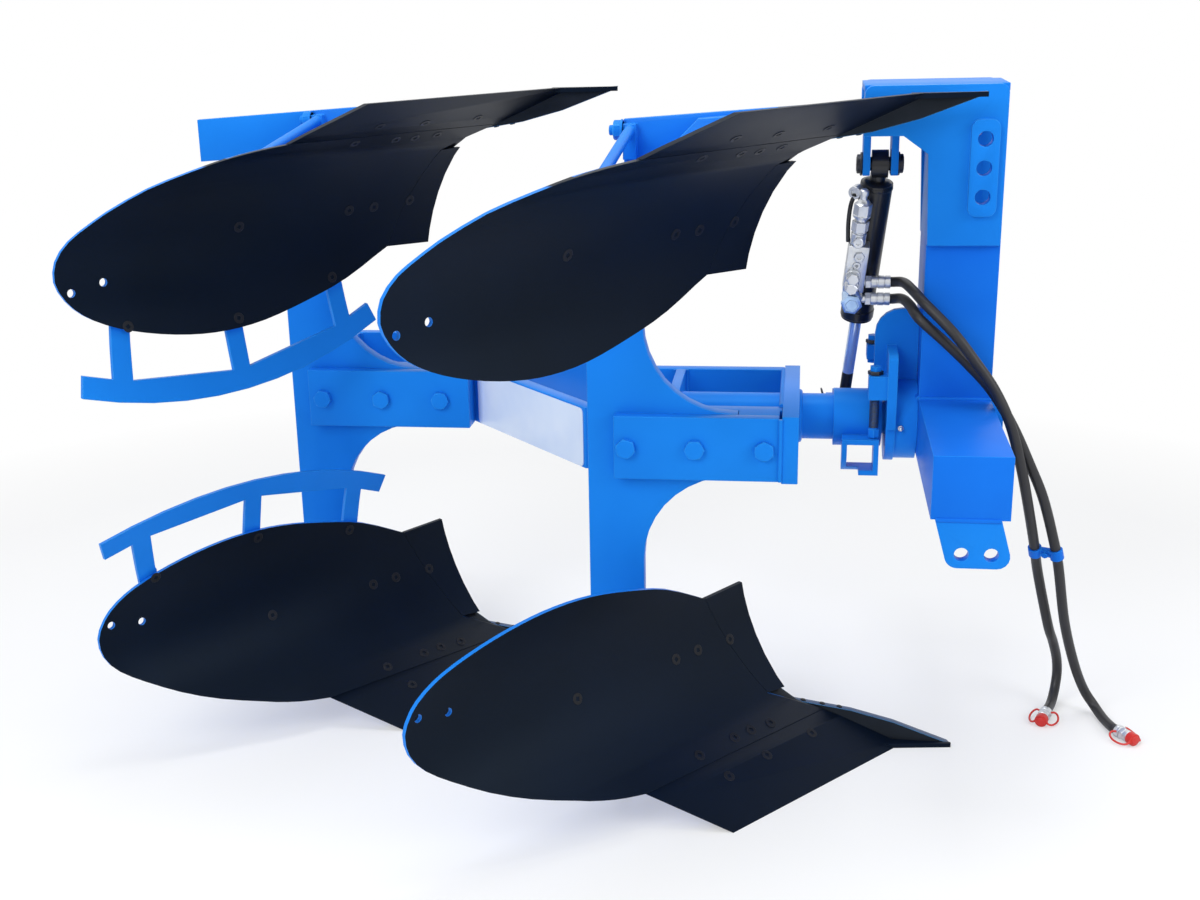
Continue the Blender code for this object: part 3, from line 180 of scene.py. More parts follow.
def makeSprayGroup():
    # cloudy shade, orange peel and a little dust in sprayed paint
    group, entry, leave = newGroup(
        "sprayedPaint",
        [("Colour", "NodeSocketColor", (0.5, 0.5, 0.5, 1.0)), ("Shade", "NodeSocketColor", (0.3, 0.3, 0.3, 1.0)),
         ("Cloud", "NodeSocketFloat", 4.0), ("Peel", "NodeSocketFloat", 260.0),
         ("Gloss", "NodeSocketFloat", 0.35), ("Spread", "NodeSocketFloat", 0.12)],
        [("Colour", "NodeSocketColor"), ("Roughness", "NodeSocketFloat"), ("Height", "NodeSocketFloat")])
    place = group.nodes.new("ShaderNodeTexCoord")
    cloud = newNode(group, "ShaderNodeTexNoise", Detail=3.0, Roughness=0.6)
    peel = newNode(group, "ShaderNodeTexNoise", Detail=1.0)
    speck = newNode(group, "ShaderNodeTexNoise", Scale=900.0, Detail=0.0)
    for node in (cloud, peel, speck):
        group.links.new(place.outputs["Object"], node.inputs["Vector"])
    group.links.new(entry.outputs["Cloud"], cloud.inputs["Scale"])
    group.links.new(entry.outputs["Peel"], peel.inputs["Scale"])
    share = mathNode(group, "SUBTRACT", cloud.outputs[0], 0.42, True)
    share = mathNode(group, "MULTIPLY", share, 2.6, True)
    colour = mixColour(group, share, entry.outputs["Colour"], entry.outputs["Shade"])
    group.links.new(colour, leave.inputs["Colour"])
    swing = mathNode(group, "SUBTRACT", cloud.outputs[0], 0.5)
    swing = mathNode(group, "MULTIPLY", swing, entry.outputs["Spread"])
    swing = mathNode(group, "ADD", swing, entry.outputs["Gloss"], True)
    group.links.new(swing, leave.inputs["Roughness"])
    height = mathNode(group, "MULTIPLY", speck.outputs[0], 0.35)
    height = mathNode(group, "ADD", height, peel.outputs[0])
    group.links.new(height, leave.inputs["Height"])
    return group


edgeGroup = makeEdgeGroup()
sprayGroup = makeSprayGroup()


# finishes

# each finish's edge colour is a painted highlight: a paler tone mixed in along its edges
paints = {
    "bluePaint": {"colour": (0.012, 0.218, 0.780), "shade": (0.009, 0.184, 0.705), "edge": (0.06, 0.45, 1.0),
                  "gloss": 0.38, "coat": 0.0, "specular": 0.20, "bump": 0.10, "radius": 0.0018, "cloud": 3.0,
                  "sheen": (0.10, 0.62, 1.0)},
    # a darker copy of the blue paint: painted shade for blue parts that lie in shadow
    "shadedBluePaint": {"colour": (0.010, 0.166, 0.750), "shade": (0.007, 0.130, 0.662), "edge": (0.05, 0.42, 1.0),
                      "gloss": 0.38, "coat": 0.0, "specular": 0.18, "bump": 0.10, "radius": 0.0018, "cloud": 3.0,
                      "sheen": (0.08, 0.55, 1.0)},
    "blackPaint": {"colour": (0.008, 0.009, 0.012), "shade": (0.014, 0.016, 0.022), "edge": (0.06, 0.07, 0.09),
                   "gloss": 0.36, "coat": 0.25, "specular": 0.35, "bump": 0.08, "radius": 0.0012, "cloud": 9.0},
    "zincPlate": {"colour": (0.66, 0.68, 0.71), "shade": (0.50, 0.53, 0.57), "edge": (0.86, 0.88, 0.90),
                  "gloss": 0.34, "coat": 0.0, "specular": 0.5, "bump": 0.08, "radius": 0.0007, "cloud": 40.0,
                  "metal": 0.9},
    "blueZinc": {"colour": (0.42, 0.60, 0.86), "shade": (0.34, 0.50, 0.76), "edge": (0.70, 0.82, 0.95),
                 "gloss": 0.30, "coat": 0.0, "specular": 0.5, "bump": 0.06, "radius": 0.0007, "cloud": 40.0,
                 "metal": 0.8},
    "boltBlack": {"colour": (0.0035, 0.0045, 0.0080), "shade": (0.0060, 0.0075, 0.0130),
                  "edge": (0.020, 0.026, 0.042), "gloss": 0.40, "coat": 0.0, "specular": 0.22, "bump": 0.08,
                  "radius": 0.0005, "cloud": 60.0},
    "darkSteel": {"colour": (0.030, 0.033, 0.040), "shade": (0.055, 0.058, 0.066), "edge": (0.22, 0.23, 0.26),
                  "gloss": 0.38, "coat": 0.0, "specular": 0.4, "bump": 0.12, "radius": 0.0006, "cloud": 50.0,
                  "metal": 0.6},
    "redRubber": {"colour": (0.62, 0.020, 0.014), "shade": (0.46, 0.012, 0.010), "edge": (0.80, 0.08, 0.06),
                  "gloss": 0.42, "coat": 0.1, "specular": 0.45, "bump": 0.06, "radius": 0.0006, "cloud": 60.0},
    "paleLabel": {"colour": (0.66, 0.78, 0.96), "shade": (0.78, 0.87, 0.99), "edge": (0.80, 0.88, 1.0),
                  "gloss": 0.30, "coat": 0.5, "specular": 0.5, "bump": 0.02, "radius": 0.0004, "cloud": 6.0},
}


coatRoughness = 0.12
bumpHeight = 0.0008

def newMaterial(name):
    material = bpy.data.materials.new(name)
    material.use_nodes = True
    return material, material.node_tree, material.node_tree.nodes["Principled BSDF"]

def groupNode(tree, group, **values):
    node = tree.nodes.new("ShaderNodeGroup")
    node.node_tree = group
    for name, value in values.items():
        node.inputs[name].default_value = value
    return node

def sprayNode(tree, finish):
    return groupNode(tree, sprayGroup, Colour=(*finish["colour"], 1.0), Shade=(*finish["shade"], 1.0),
                     Cloud=finish["cloud"], Gloss=finish["gloss"])

def startPaint(name, finish, sheen=None):
    material, tree, shader = newMaterial(name)
    shader.inputs["Specular Tint"].default_value = (*(sheen or finish.get("sheen", (1.0, 1.0, 1.0))), 1.0)
    shader.inputs["Metallic"].default_value = finish.get("metal", 0.0)
    shader.inputs["Specular IOR Level"].default_value = finish["specular"]
    shader.inputs["Coat Weight"].default_value = finish["coat"]
    shader.inputs["Coat Roughness"].default_value = coatRoughness
    edges = groupNode(tree, edgeGroup, Radius=finish["radius"])
    return material, tree, shader, sprayNode(tree, finish), edges

# painted highlight: edges lightened toward the finish's edge colour where the edge mask is high
def paintEdgeHighlight(tree, finish, colour, edges, strength=0.7):
    share = mathNode(tree, "MULTIPLY", edges.outputs["Mask"], strength)
    return mixColour(tree, share, colour, finish["edge"])

def linkFinish(tree, shader, finish, colour, spray, edges):
    tree.links.new(colour, shader.inputs["Base Color"])
    tree.links.new(spray.outputs["Roughness"], shader.inputs["Roughness"])
    bump = newNode(tree, "ShaderNodeBump", Strength=finish["bump"], Distance=bumpHeight)
    tree.links.new(spray.outputs["Height"], bump.inputs["Height"])
    tree.links.new(edges.outputs["Normal"], bump.inputs["Normal"])
    tree.links.new(bump.outputs["Normal"], shader.inputs["Normal"])

def makePaint(name):
    finish = paints[name]
    material, tree, shader, spray, edges = startPaint(name, finish)
    # its edges get the painted highlight
    linkFinish(tree, shader, finish, paintEdgeHighlight(tree, finish, spray.outputs["Colour"], edges), spray, edges)
    return material

materials = {name: makePaint(name) for name in paints}

plateFinish = {
    "colour": (0.0012, 0.0034, 0.0090), "shade": (0.0022, 0.0060, 0.0175), "edge": (0.022, 0.034, 0.062),
    "gloss": 0.42, "coat": 0.0, "specular": 0.14, "sheen": (0.55, 0.75, 1.0), "bump": 0.10, "radius": 0.0008,
    "cloud": 2.2, "back": (0.012, 0.212, 0.765), "seam": 0.487, "sharp": 14.0,
}
plateFacings = {                # direction that stays dark, and how far round the dark goes
    "wingPaint": ((1.144, -0.223, 0.0), 0.22),
    "sharePaint": ((0.743, -0.669, 0.0), -0.35),
}


def makePlatePaint(name):
    # dark on the working face, blue on the back and round the outer edges
    finish = plateFinish
    ahead, turn = plateFacings[name]
    material, tree, shader, spray, edges = startPaint(name, finish)
    place = tree.nodes.new("ShaderNodeTexCoord")
    facing = dotWith(tree, place.outputs["Normal"], ahead)
    front = mathNode(tree, "MULTIPLY", mathNode(tree, "SUBTRACT", facing, turn), finish["sharp"], True)
    # near the seam over the share the edge is dark too
    parts = tree.nodes.new("ShaderNodeSeparateXYZ")
    tree.links.new(place.outputs["Object"], parts.inputs[0])
    rise = mathNode(tree, "ABSOLUTE", mathNode(tree, "SUBTRACT", parts.outputs["Z"], rowShift.z))
    low = mathNode(tree, "MULTIPLY", mathNode(tree, "SUBTRACT", rise, finish["seam"]), 400.0, True)
    sidelong = mathNode(tree, "MULTIPLY", mathNode(tree, "ADD", facing, 0.35), finish["sharp"], True)
    front = mathNode(tree, "MAXIMUM", front, mathNode(tree, "MULTIPLY", low, sidelong))
    # painted highlight along the plate's edges, at half strength
    dark = paintEdgeHighlight(tree, finish, spray.outputs["Colour"], edges, 0.5)
    linkFinish(tree, shader, finish, mixColour(tree, front, finish["back"], dark), spray, edges)
    return material

splitPaint = {"sheen": (0.55, 0.75, 1.0), "sharp": 900.0, "level": 0.7, "skyHighlightSharp": 12.0}

def makeSplitPaint(name, firstName, secondName, axis, start, crest=None):
    # two paints that meet at a place along one direction
    first = paints[firstName]
    sheen = splitPaint["sheen"] if secondName == "blackPaint" else None
    material, tree, shader, spray, edges = startPaint(name, first, sheen)
    place = tree.nodes.new("ShaderNodeTexCoord")
    share = mathNode(tree, "SUBTRACT", dotWith(tree, place.outputs["Object"], axis), start)
    share = mathNode(tree, "MULTIPLY", share, splitPaint["sharp"], True)
    second = sprayNode(tree, paints[secondName]).outputs["Colour"]
    if crest:   # faces that lie level get a painted highlight: a paler colour standing in for light from the sky
        parts = tree.nodes.new("ShaderNodeSeparateXYZ")
        tree.links.new(place.outputs["Normal"], parts.inputs[0])
        level = mathNode(tree, "SUBTRACT", mathNode(tree, "ABSOLUTE", parts.outputs["Z"]), splitPaint["level"])
        level = mathNode(tree, "MULTIPLY", level, splitPaint["skyHighlightSharp"], True)
        second = mixColour(tree, level, second, crest)
    colour = mixColour(tree, share, spray.outputs["Colour"], second)
    # its edges get the painted highlight
    linkFinish(tree, shader, first, paintEdgeHighlight(tree, first, colour, edges), spray, edges)
    return material

cylinderPin = Vector((0.302, 0.0, 0.452))
rodEye = Vector((0.2575, 0.125, 0.0))
down = (rodEye - cylinderPin).normalized()          # along the cylinder, from its pin to its rod's eye
nearSide = down.cross(right).normalized()
nearSide = -nearSide if nearSide.y > 0 else nearSide
across = nearSide.cross(down).normalized()

# the chrome colour is pale blue, a painted reflection of the blue paint round the rod; with metal at 0.55 half of it
# shows as flat colour
rodFinish = {"chrome": (0.62, 0.74, 0.93), "black": (0.010, 0.011, 0.013), "blackStart": 0.411, "roughness": 0.26,
             "blackRoughness": 0.30, "metal": 0.55}


def makeRodFinish():
    material, tree, shader = newMaterial("chromeRod")
    place = tree.nodes.new("ShaderNodeTexCoord")
    start = rowPoint(cylinderPin).dot(down) + rodFinish["blackStart"]
    share = mathNode(tree, "SUBTRACT", dotWith(tree, place.outputs["Object"], down), start)
    share = mathNode(tree, "MULTIPLY", share, 2000.0, True)
    # painted reflection: pale blue chrome above the black end
    tree.links.new(mixColour(tree, share, rodFinish["chrome"], rodFinish["black"]), shader.inputs["Base Color"])
    metal = mathNode(tree, "MULTIPLY", mathNode(tree, "SUBTRACT", 1.0, share), rodFinish["metal"])
    tree.links.new(metal, shader.inputs["Metallic"])
    scratch = newNode(tree, "ShaderNodeTexNoise", Scale=60.0, Detail=1.0)
    tree.links.new(place.outputs["Object"], scratch.inputs["Vector"])
    rough = mathNode(tree, "MULTIPLY", scratch.outputs[0], rodFinish["roughness"])
    rough = mathNode(tree, "ADD", rough, mathNode(tree, "MULTIPLY", share, rodFinish["blackRoughness"]), True)
    tree.links.new(rough, shader.inputs["Roughness"])
    return material


hoseFinish = {"colour": (0.010, 0.010, 0.012), "light": (0.028, 0.028, 0.032), "wrap": 420.0}


def makeHoseFinish():
    # smooth rubber cover with the faint marks of the cloth it was cured in
    material, tree, shader = newMaterial("hoseCover")
    shader.inputs["Specular IOR Level"].default_value = 0.4
    place = tree.nodes.new("ShaderNodeTexCoord")
    cloth = newNode(tree, "ShaderNodeTexVoronoi", Scale=hoseFinish["wrap"])
    cloud = newNode(tree, "ShaderNodeTexNoise", Scale=18.0, Detail=4.0)
    for node in (cloth, cloud):
        tree.links.new(place.outputs["Object"], node.inputs["Vector"])
    colour = mixColour(tree, cloud.outputs[0], hoseFinish["colour"], hoseFinish["light"])
    tree.links.new(colour, shader.inputs["Base Color"])
    rough = mathNode(tree, "MULTIPLY", cloud.outputs[0], 0.3)
    tree.links.new(mathNode(tree, "ADD", rough, 0.28, True), shader.inputs["Roughness"])
    bump = newNode(tree, "ShaderNodeBump", Strength=0.25, Distance=0.0004)
    tree.links.new(cloth.outputs["Distance"], bump.inputs["Height"])
    tree.links.new(bump.outputs["Normal"], shader.inputs["Normal"])
    return material


noseStart = 0.128
frogDark = 0.100
for plateName in plateFacings:
    materials[plateName] = makePlatePaint(plateName)
materials["chromeRod"] = makeRodFinish()
materials["hoseCover"] = makeHoseFinish()
for bodyName, shift in (("front", 0.0), ("rear", -0.63)):
    # the landside's black nose gets this paler painted highlight on its level faces
    materials["landside" + bodyName] = makeSplitPaint(
        "landsidePaint_" + bodyName, "bluePaint", "blackPaint", (1.0, 0.0, 0.0), noseStart + shift + rowShift.x,
        (0.075, 0.115, 0.200))
    materials["frog" + bodyName] = makeSplitPaint(
        "frogPaint_" + bodyName, "bluePaint", "blackPaint", (1.0, 0.0, 0.0), frogDark + shift + rowShift.x)
# the column takes the darker copy below 0.330 and the plain blue above: painted shade on its lower part
materials["columnPaint"] = makeSplitPaint(
    "columnPaint", "shadedBluePaint", "bluePaint", (0.0, 0.0, 1.0), 0.330 + rowShift.z)
print("finishes made:", len(materials))

# the cross beam takes the darker copy of the blue: painted shade
nodeFinishes = {
    "moldboard": "wingPaint", "shin": "sharePaint", "share": "sharePaint", "cylinder_barrel": "blackPaint",
    "cylinder_rod": "chromeRod", "cylinder_pin": "darkSteel", "valve_block": "zincPlate",
    "hose_end": "zincPlate", "hose": "hoseCover", "tower_column": "columnPaint", "cross_beam": "shadedBluePaint",
    "landside_front": "landsidefront", "landside_rear": "landsiderear", "frog_front": "frogfront",
    "frog_rear": "frogrear",
}


def finishOf(name):
    keys = [key for key in nodeFinishes if name.startswith(key)]
    return nodeFinishes[max(keys, key=len)] if keys else "bluePaint"


def finishNodes():
    for name, node in frame["nodes"].items():
        for index in range(len(node.data.materials)):
            node.data.materials[index] = materials[finishOf(name)]


finishNodes()
print("nodes painted")


# modelling

def deselectAll():
    if bpy.context.mode != "OBJECT":
        bpy.ops.object.mode_set(mode="OBJECT")
    bpy.ops.object.select_all(action="DESELECT")


def selectOnly(piece):
    deselectAll()
    piece.select_set(True)
    bpy.context.view_layer.objects.active = piece


def turnedPiece(sides, radius, steps):
    # a disc that grows upwards by steps of (advance, new radius)
    deselectAll()
    bpy.ops.mesh.primitive_circle_add(vertices=sides, radius=radius, fill_type="NGON")
    piece = bpy.context.active_object
    bpy.ops.object.mode_set(mode="EDIT")
    bpy.ops.mesh.select_all(action="SELECT")
    height = 0.0
    for advance, newRadius in steps:
        height += advance
        bpy.ops.mesh.extrude_region_move(TRANSFORM_OT_translate={"value": (0.0, 0.0, advance)})
        share = newRadius / radius
        bpy.ops.transform.resize(value=(share, share, 1.0), center_override=(0.0, 0.0, height))
        radius = newRadius
    bpy.ops.mesh.select_all(action="SELECT")
    bpy.ops.mesh.normals_make_consistent(inside=False)
    bpy.ops.object.mode_set(mode="OBJECT")
    return piece


def plateWithEdges(size, edge, segments=2):
    # block of a size with its edges rounded
    deselectAll()
    bpy.ops.mesh.primitive_cube_add(size=1.0, scale=size)
    piece = bpy.context.active_object
    bpy.ops.object.transform_apply(location=True, rotation=True, scale=True)
    bpy.ops.object.mode_set(mode="EDIT")
    bpy.ops.mesh.select_all(action="SELECT")
    bpy.ops.mesh.bevel(offset=edge, segments=segments, affect="EDGES")
    bpy.ops.object.mode_set(mode="OBJECT")
    return piece


def useModifier(piece, kind, **settings):
    selectOnly(piece)
    modifier = piece.modifiers.new("work", kind)
    for name, value in settings.items():
        setattr(modifier, name, value)
    bpy.ops.object.modifier_apply(modifier=modifier.name)


def cutWith(piece, cutter):
    useModifier(piece, "BOOLEAN", object=cutter, operation="DIFFERENCE", solver="EXACT")
    bpy.data.objects.remove(cutter)


def copyOf(piece):
    twin = piece.copy()
    twin.data = piece.data.copy()
    bpy.context.scene.collection.objects.link(twin)
    return twin


def place(piece, origin, direction, turn=0.0):
    # stand a piece on a point of the plough's frame, with its own height along a direction
    stand = Vector(direction).to_track_quat("Z", "Y").to_matrix().to_4x4()
    piece.data.transform(Matrix.Translation(rowPoint(origin)) @ stand @ Matrix.Rotation(turn, 4, "Z"))
    return piece


def placeFrame(piece, origin, sideways, forward, upward):
    turn = Matrix((sideways, forward, upward)).transposed().to_4x4()
    piece.data.transform(Matrix.Translation(rowPoint(origin)) @ turn)
    return piece


def joinAll(pieces):
    deselectAll()
    for piece in pieces:
        piece.select_set(True)
    bpy.context.view_layer.objects.active = pieces[0]
    bpy.ops.object.join()
    return pieces[0]


def finishPiece(piece, name, finish, body, angle=35.0):
    selectOnly(piece)
    piece.name = name
    piece.data.name = name
    piece.data.materials.clear()
    piece.data.materials.append(materials[finish])
    bpy.ops.object.shade_smooth_by_angle(angle=math.radians(angle))
    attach(piece, body)
    return piece


def drop(*models):
    for model in models:
        bpy.data.objects.remove(model)

def drum(sides, radius, height, edge, small):
    # a disc with both its edges broken
    return turnedPiece(sides, small, [(edge, radius), (height, radius), (edge, small)])

def hexHead(radius, height, crown=0.0012):
    # bolt head or nut, radius to its corners
    return turnedPiece(6, radius * 0.93, [(crown, radius), (height - 2 * crown, radius), (crown, radius * 0.90)])


def hexBolt(radius, height, washer=0.0):
    parts = []
    if washer:
        parts.append(drum(28, washer, 0.0022, 0.0006, washer * 0.96))
        height += 0.0034
    parts.append(turnedPiece(20, radius * 0.90, [(height + 0.0002, radius * 0.90), (0.0010, radius * 0.55)]))
    parts.append(hexHead(radius, height))
    return joinAll(parts)


# the plates and castings themselves: a merged copy of each solid, smooth, with its edges broken

brokenEdges = {
    "rail": 0.0014, "doubler": 0.0020, "leg": 0.0016, "end_plate": 0.0020, "rib": 0.0012, "tower_plate": 0.0016,
    "cross_beam": 0.0022, "hitch_lug": 0.0014, "tower_column": 0.0014, "frog": 0.0014, "landside": 0.0010,
    "guard_bar": 0.0, "moldboard": 0.0, "shin": 0.0, "share": 0.0, "cylinder_barrel": 0.0, "cylinder_rod": 0.0,
    "cylinder_pin": 0.0, "turnover_shaft": 0.0, "turnover_arm": 0.0, "hub_bracket": 0.0, "stop_bolt": 0.0,
}
smoothAngles = {"moldboard": 40.0, "shin": 40.0, "share": 40.0, "guard_bar": 28.0}


def makeSkin(name, edge, angle):
    model = frame["nodes"][name]
    skin = bpy.data.objects.new(name + "_skin", model.data.copy())
    bpy.context.scene.collection.objects.link(skin)
    selectOnly(skin)
    bpy.ops.object.mode_set(mode="EDIT")
    bpy.ops.mesh.select_all(action="SELECT")
    bpy.ops.mesh.remove_doubles(threshold=0.00002)
    bpy.ops.mesh.dissolve_limited(angle_limit=math.radians(0.4))
    bpy.ops.object.mode_set(mode="OBJECT")
    if skin.data.has_custom_normals:
        bpy.ops.mesh.customdata_custom_splitnormals_clear()
    if edge:
        useModifier(skin, "BEVEL", width=edge, segments=2, limit_method="ANGLE",
                    angle_limit=math.radians(50.0), use_clamp_overlap=True)
    finishPiece(skin, name + "_skin", finishOf(name), model["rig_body"], angle)
    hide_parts(name)


for nodeName in sorted(frame["nodes"]):
    edgeKey = [key for key in brokenEdges if nodeName.startswith(key)]
    if edgeKey:
        makeSkin(nodeName, brokenEdges[edgeKey[0]], smoothAngles.get(edgeKey[0], 32.0))
print("plates skinned")


# the body's surface, as in the part's source

shape = {
    "angle": math.radians(48.0), "lift": math.radians(30.3), "top": math.radians(102.6), "radius": 0.281,
    "start": 0.0635, "offset": 0.3885, "pivot": 0.200, "low": -0.0406, "twistStart": 0.070, "twist": 0.483,
    "ground": 0.58, "rear": (-0.63, 0.30, 0.0),
}


def bodyPoint(along, height):
    lift, radius, start = shape["lift"], shape["radius"], shape["start"]
    if height <= start:
        ahead = shape["offset"] - height / math.tan(lift)
    else:
        end = start + radius * (math.cos(lift) - math.cos(shape["top"]))
        reached = min(height, end)
        slope = math.acos(math.cos(lift) - (reached - start) / radius)
        ahead = shape["offset"] - start / math.tan(lift) - radius * (math.sin(slope) - math.sin(lift))
        ahead -= (height - reached) / math.tan(shape["top"])
    ahead += (shape["low"] - shape["twist"] * max(0.0, height - shape["twistStart"]) ** 2) * (along + shape["pivot"])
    angle = shape["angle"]
    return Vector((math.cos(angle) * along + math.sin(angle) * ahead,
                   math.sin(angle) * along - math.cos(angle) * ahead, height - shape["ground"]))


def bodyNormal(along, height):
    step = 0.001
    level = bodyPoint(along + step, height) - bodyPoint(along - step, height)
    rise = bodyPoint(along, height + step) - bodyPoint(along, height - step)
    return level.cross(rise).normalized()


def onBody(point, direction, rear, upper):
    point, direction = Vector(point), Vector(direction)
    if upper:
        point.z, direction.z = -point.z, -direction.z
    if rear:
        point += Vector(shape["rear"])
    return point, direction


def seated(point, normal, rear, upper, kinds=("moldboard", "shin", "share")):
    # the nearest spot on the body's real plates, whose flats lie a little off the curve
    start, best = rowPoint(point), None
    for kind in kinds:
        skin = bpy.data.objects["%s_%s_%s_skin" % (kind, "rear" if rear else "front", "upper" if upper else "lower")]
        hit, spot, _, _ = skin.ray_cast(start + normal * 0.03, -normal, distance=0.06)
        if hit and (best is None or (spot - start).length < (best - start).length):
            best = spot
    return point if best is None else best - rowShift


bodies = [(rear, upper) for rear in (False, True) for upper in (False, True)]


# the two hoses, repeated from the part's source

hoses = {
    "upper": {"length": 1.1105, "points": [
        (0.3223, 0.015, 0.2437), (0.3273, 0.015, 0.2437), (0.3323, 0.015, 0.2437), (0.350, -0.008, 0.2470),
        (0.363, -0.060, 0.2430), (0.380, -0.098, 0.2290), (0.428, -0.128, 0.1840), (0.465, -0.133, 0.1370),
        (0.500, -0.136, 0.0880), (0.529, -0.135, 0.0290), (0.552, -0.125, -0.0450), (0.570, -0.108, -0.1150),
        (0.5945, -0.065, -0.2146), (0.6095, -0.030, -0.2800), (0.6397, 0.005, -0.3946), (0.656, 0.034, -0.4400),
        (0.669, 0.058, -0.4830), (0.6735, 0.065, -0.5150), (0.6715, 0.059, -0.5400), (0.666, 0.044, -0.5590),
        (0.6595, 0.026, -0.5670), (0.6537, 0.011, -0.5680), (0.6502, 0.0016, -0.5680), (0.6467, -0.0078, -0.5680),
    ]},
    "lower": {"length": 1.1208, "points": [
        (0.3223, 0.015, 0.2135), (0.3273, 0.015, 0.2135), (0.3323, 0.015, 0.2135), (0.349, -0.008, 0.2180),
        (0.360, -0.060, 0.2160), (0.373, -0.100, 0.2020), (0.414, -0.108, 0.1660), (0.455, -0.108, 0.1270),
        (0.498, -0.108, 0.0800), (0.537, -0.108, 0.0180), (0.572, -0.104, -0.0550), (0.599, -0.096, -0.1170),
        (0.625, -0.078, -0.2010), (0.639, -0.066, -0.2570), (0.662, -0.034, -0.3720), (0.690, -0.002, -0.4660),
        (0.716, 0.022, -0.5300), (0.737, 0.018, -0.5620), (0.748, -0.020, -0.5700), (0.757, -0.0600, -0.5680),
        (0.7608, -0.0660, -0.5680), (0.7646, -0.0720, -0.5680),
    ]},
}
hoseSize = {"radius": 0.009, "steps": 6, "swings": 8}
coupler = {     # turned profiles, the cap's strap and the loop it makes: ahead, aside, up
    "sleeve": [(0.0, 0.0112), (0.001, 0.0118), (0.004, 0.0118), (0.0005, 0.0112), (0.0012, 0.0112), (0.0005, 0.0118),
               (0.004, 0.0118), (0.0005, 0.0110)],
    "nose": [(0.0006, 0.0108), (0.0070, 0.0108), (0.0006, 0.0098), (0.0030, 0.0098)],
    "cap": [(0.0006, 0.0116), (0.0120, 0.0116), (0.0010, 0.0108), (0.0, 0.0086), (0.0022, 0.0080), (0.0006, 0.0070)],
    "shell": [(0.0006, 0.0112), (0.0090, 0.0112), (0.0006, 0.0104), (0.0016, 0.0104), (0.0006, 0.0116),
              (0.0100, 0.0116), (0.0006, 0.0106), (0.0016, 0.0106), (0.0006, 0.0114), (0.0080, 0.0114),
              (0.0006, 0.0104)],
    "strap": 0.0019,
    "loop": [(0.007, 0.0105, 0.004), (0.002, 0.0165, 0.003), (0.004, 0.0225, -0.001), (0.014, 0.0255, -0.005),
             (0.026, 0.0240, -0.007), (0.036, 0.0190, -0.007), (0.041, 0.0130, -0.004), (0.041, 0.0100, 0.0)],
}


def smoothRoute(points, steps):
    count = len(points)
    result = []
    for span in range(count - 1):
        a, b, c, d = (Vector(points[min(max(span + k - 1, 0), count - 1)]) for k in range(4))
        for step in range(steps):
            t = step / steps
            result.append(0.5 * (2 * b + (c - a) * t + (2 * a - 5 * b + 4 * c - d) * t ** 2
                                 + (3 * b - a - 3 * c + d) * t ** 3))
    result.append(Vector(points[-1]))
    return result


def tubeAlong(name, spots, radius, resolution=3):
    curve = bpy.data.curves.new(name, "CURVE")
    curve.dimensions = "3D"
    curve.bevel_depth = radius
    curve.bevel_resolution = resolution
    curve.use_fill_caps = True
    spline = curve.splines.new("POLY")
    spline.points.add(len(spots) - 1)
    for point, spot in zip(spline.points, spots):
        point.co = (*rowPoint(spot), 1.0)
    spline.use_smooth = True
    tube = bpy.data.objects.new(name, curve)
    bpy.context.scene.collection.objects.link(tube)
    selectOnly(tube)
    bpy.ops.object.convert(target="MESH")
    return bpy.context.active_object

def makeHose(key):
    # one tube along the hose's route; after its first stretch it lies over the beam
    points = hoses[key]["points"]
    route = smoothRoute(points, hoseSize["steps"])
    piece = tubeAlong("hoseLine_" + key, route, hoseSize["radius"], 5)
    piece.data.materials.append(materials["hoseCover"])
    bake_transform(piece)
    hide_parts("hose_" + key)
    return piece, [tuple(rowPoint(spot)) for spot in route]

def hoseEnd(key):
    # the hose's last point, and the way it runs there
    points = hoses[key]["points"]
    return Vector(points[-1]), (Vector(points[-1]) - Vector(points[-2])).normalized()

def makeCoupler(key):
    # crimped sleeve, hexagon and nose of the quick coupler, within its solid
    start, run = hoseEnd(key)
    parts = [place(turnedPiece(32, 0.0104, coupler["sleeve"]), start - run * 0.001, run),
             place(hexHead(0.0119, 0.008, 0.0008), start + run * 0.0116, run),
             place(turnedPiece(32, 0.0100, coupler["nose"]), start + run * 0.0196, run)]
    shell = finishPiece(joinAll(parts), "coupler_" + key, "zincPlate", "headstock")
    cap = place(turnedPiece(32, 0.0108, coupler["cap"]), start + run * 0.0298, run)
    finishPiece(cap, "dustCap_" + key, "redRubber", "headstock")
    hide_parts("hose_end_" + key)
    return [shell, cap]

def makeStrap(key, turn):
    # the cap's looped strap, lying beside the coupler
    start, run = hoseEnd(key)
    side = Vector((0.0, 0.0, 1.0)).cross(run).normalized() * turn
    route = [start + run * a + side * b + Vector((0.0, 0.0, c)) for a, b, c in coupler["loop"]]
    strap = tubeAlong("strap", smoothRoute(route, 5), coupler["strap"])
    return finishPiece(strap, "capStrap%d_%s" % (turn + 2, key), "redRubber", "headstock")

def crimpedFerrule(key):
    # hexagon and crimped shell where the hose leaves the valve
    start = Vector(hoses[key]["points"][0]) - right * 0.040
    parts = [place(turnedPiece(24, 0.0070, [(0.010, 0.0070)]), start - right * 0.004, right),
             place(hexHead(0.0120, 0.010, 0.0008), start + right * 0.003, right, 0.3),
             place(turnedPiece(32, 0.0100, coupler["shell"]), start + right * 0.0128, right)]
    return joinAll(parts)

hoseClamp = {"height": -0.2270, "wall": 0.0030, "width": 0.020, "edge": 0.0008}


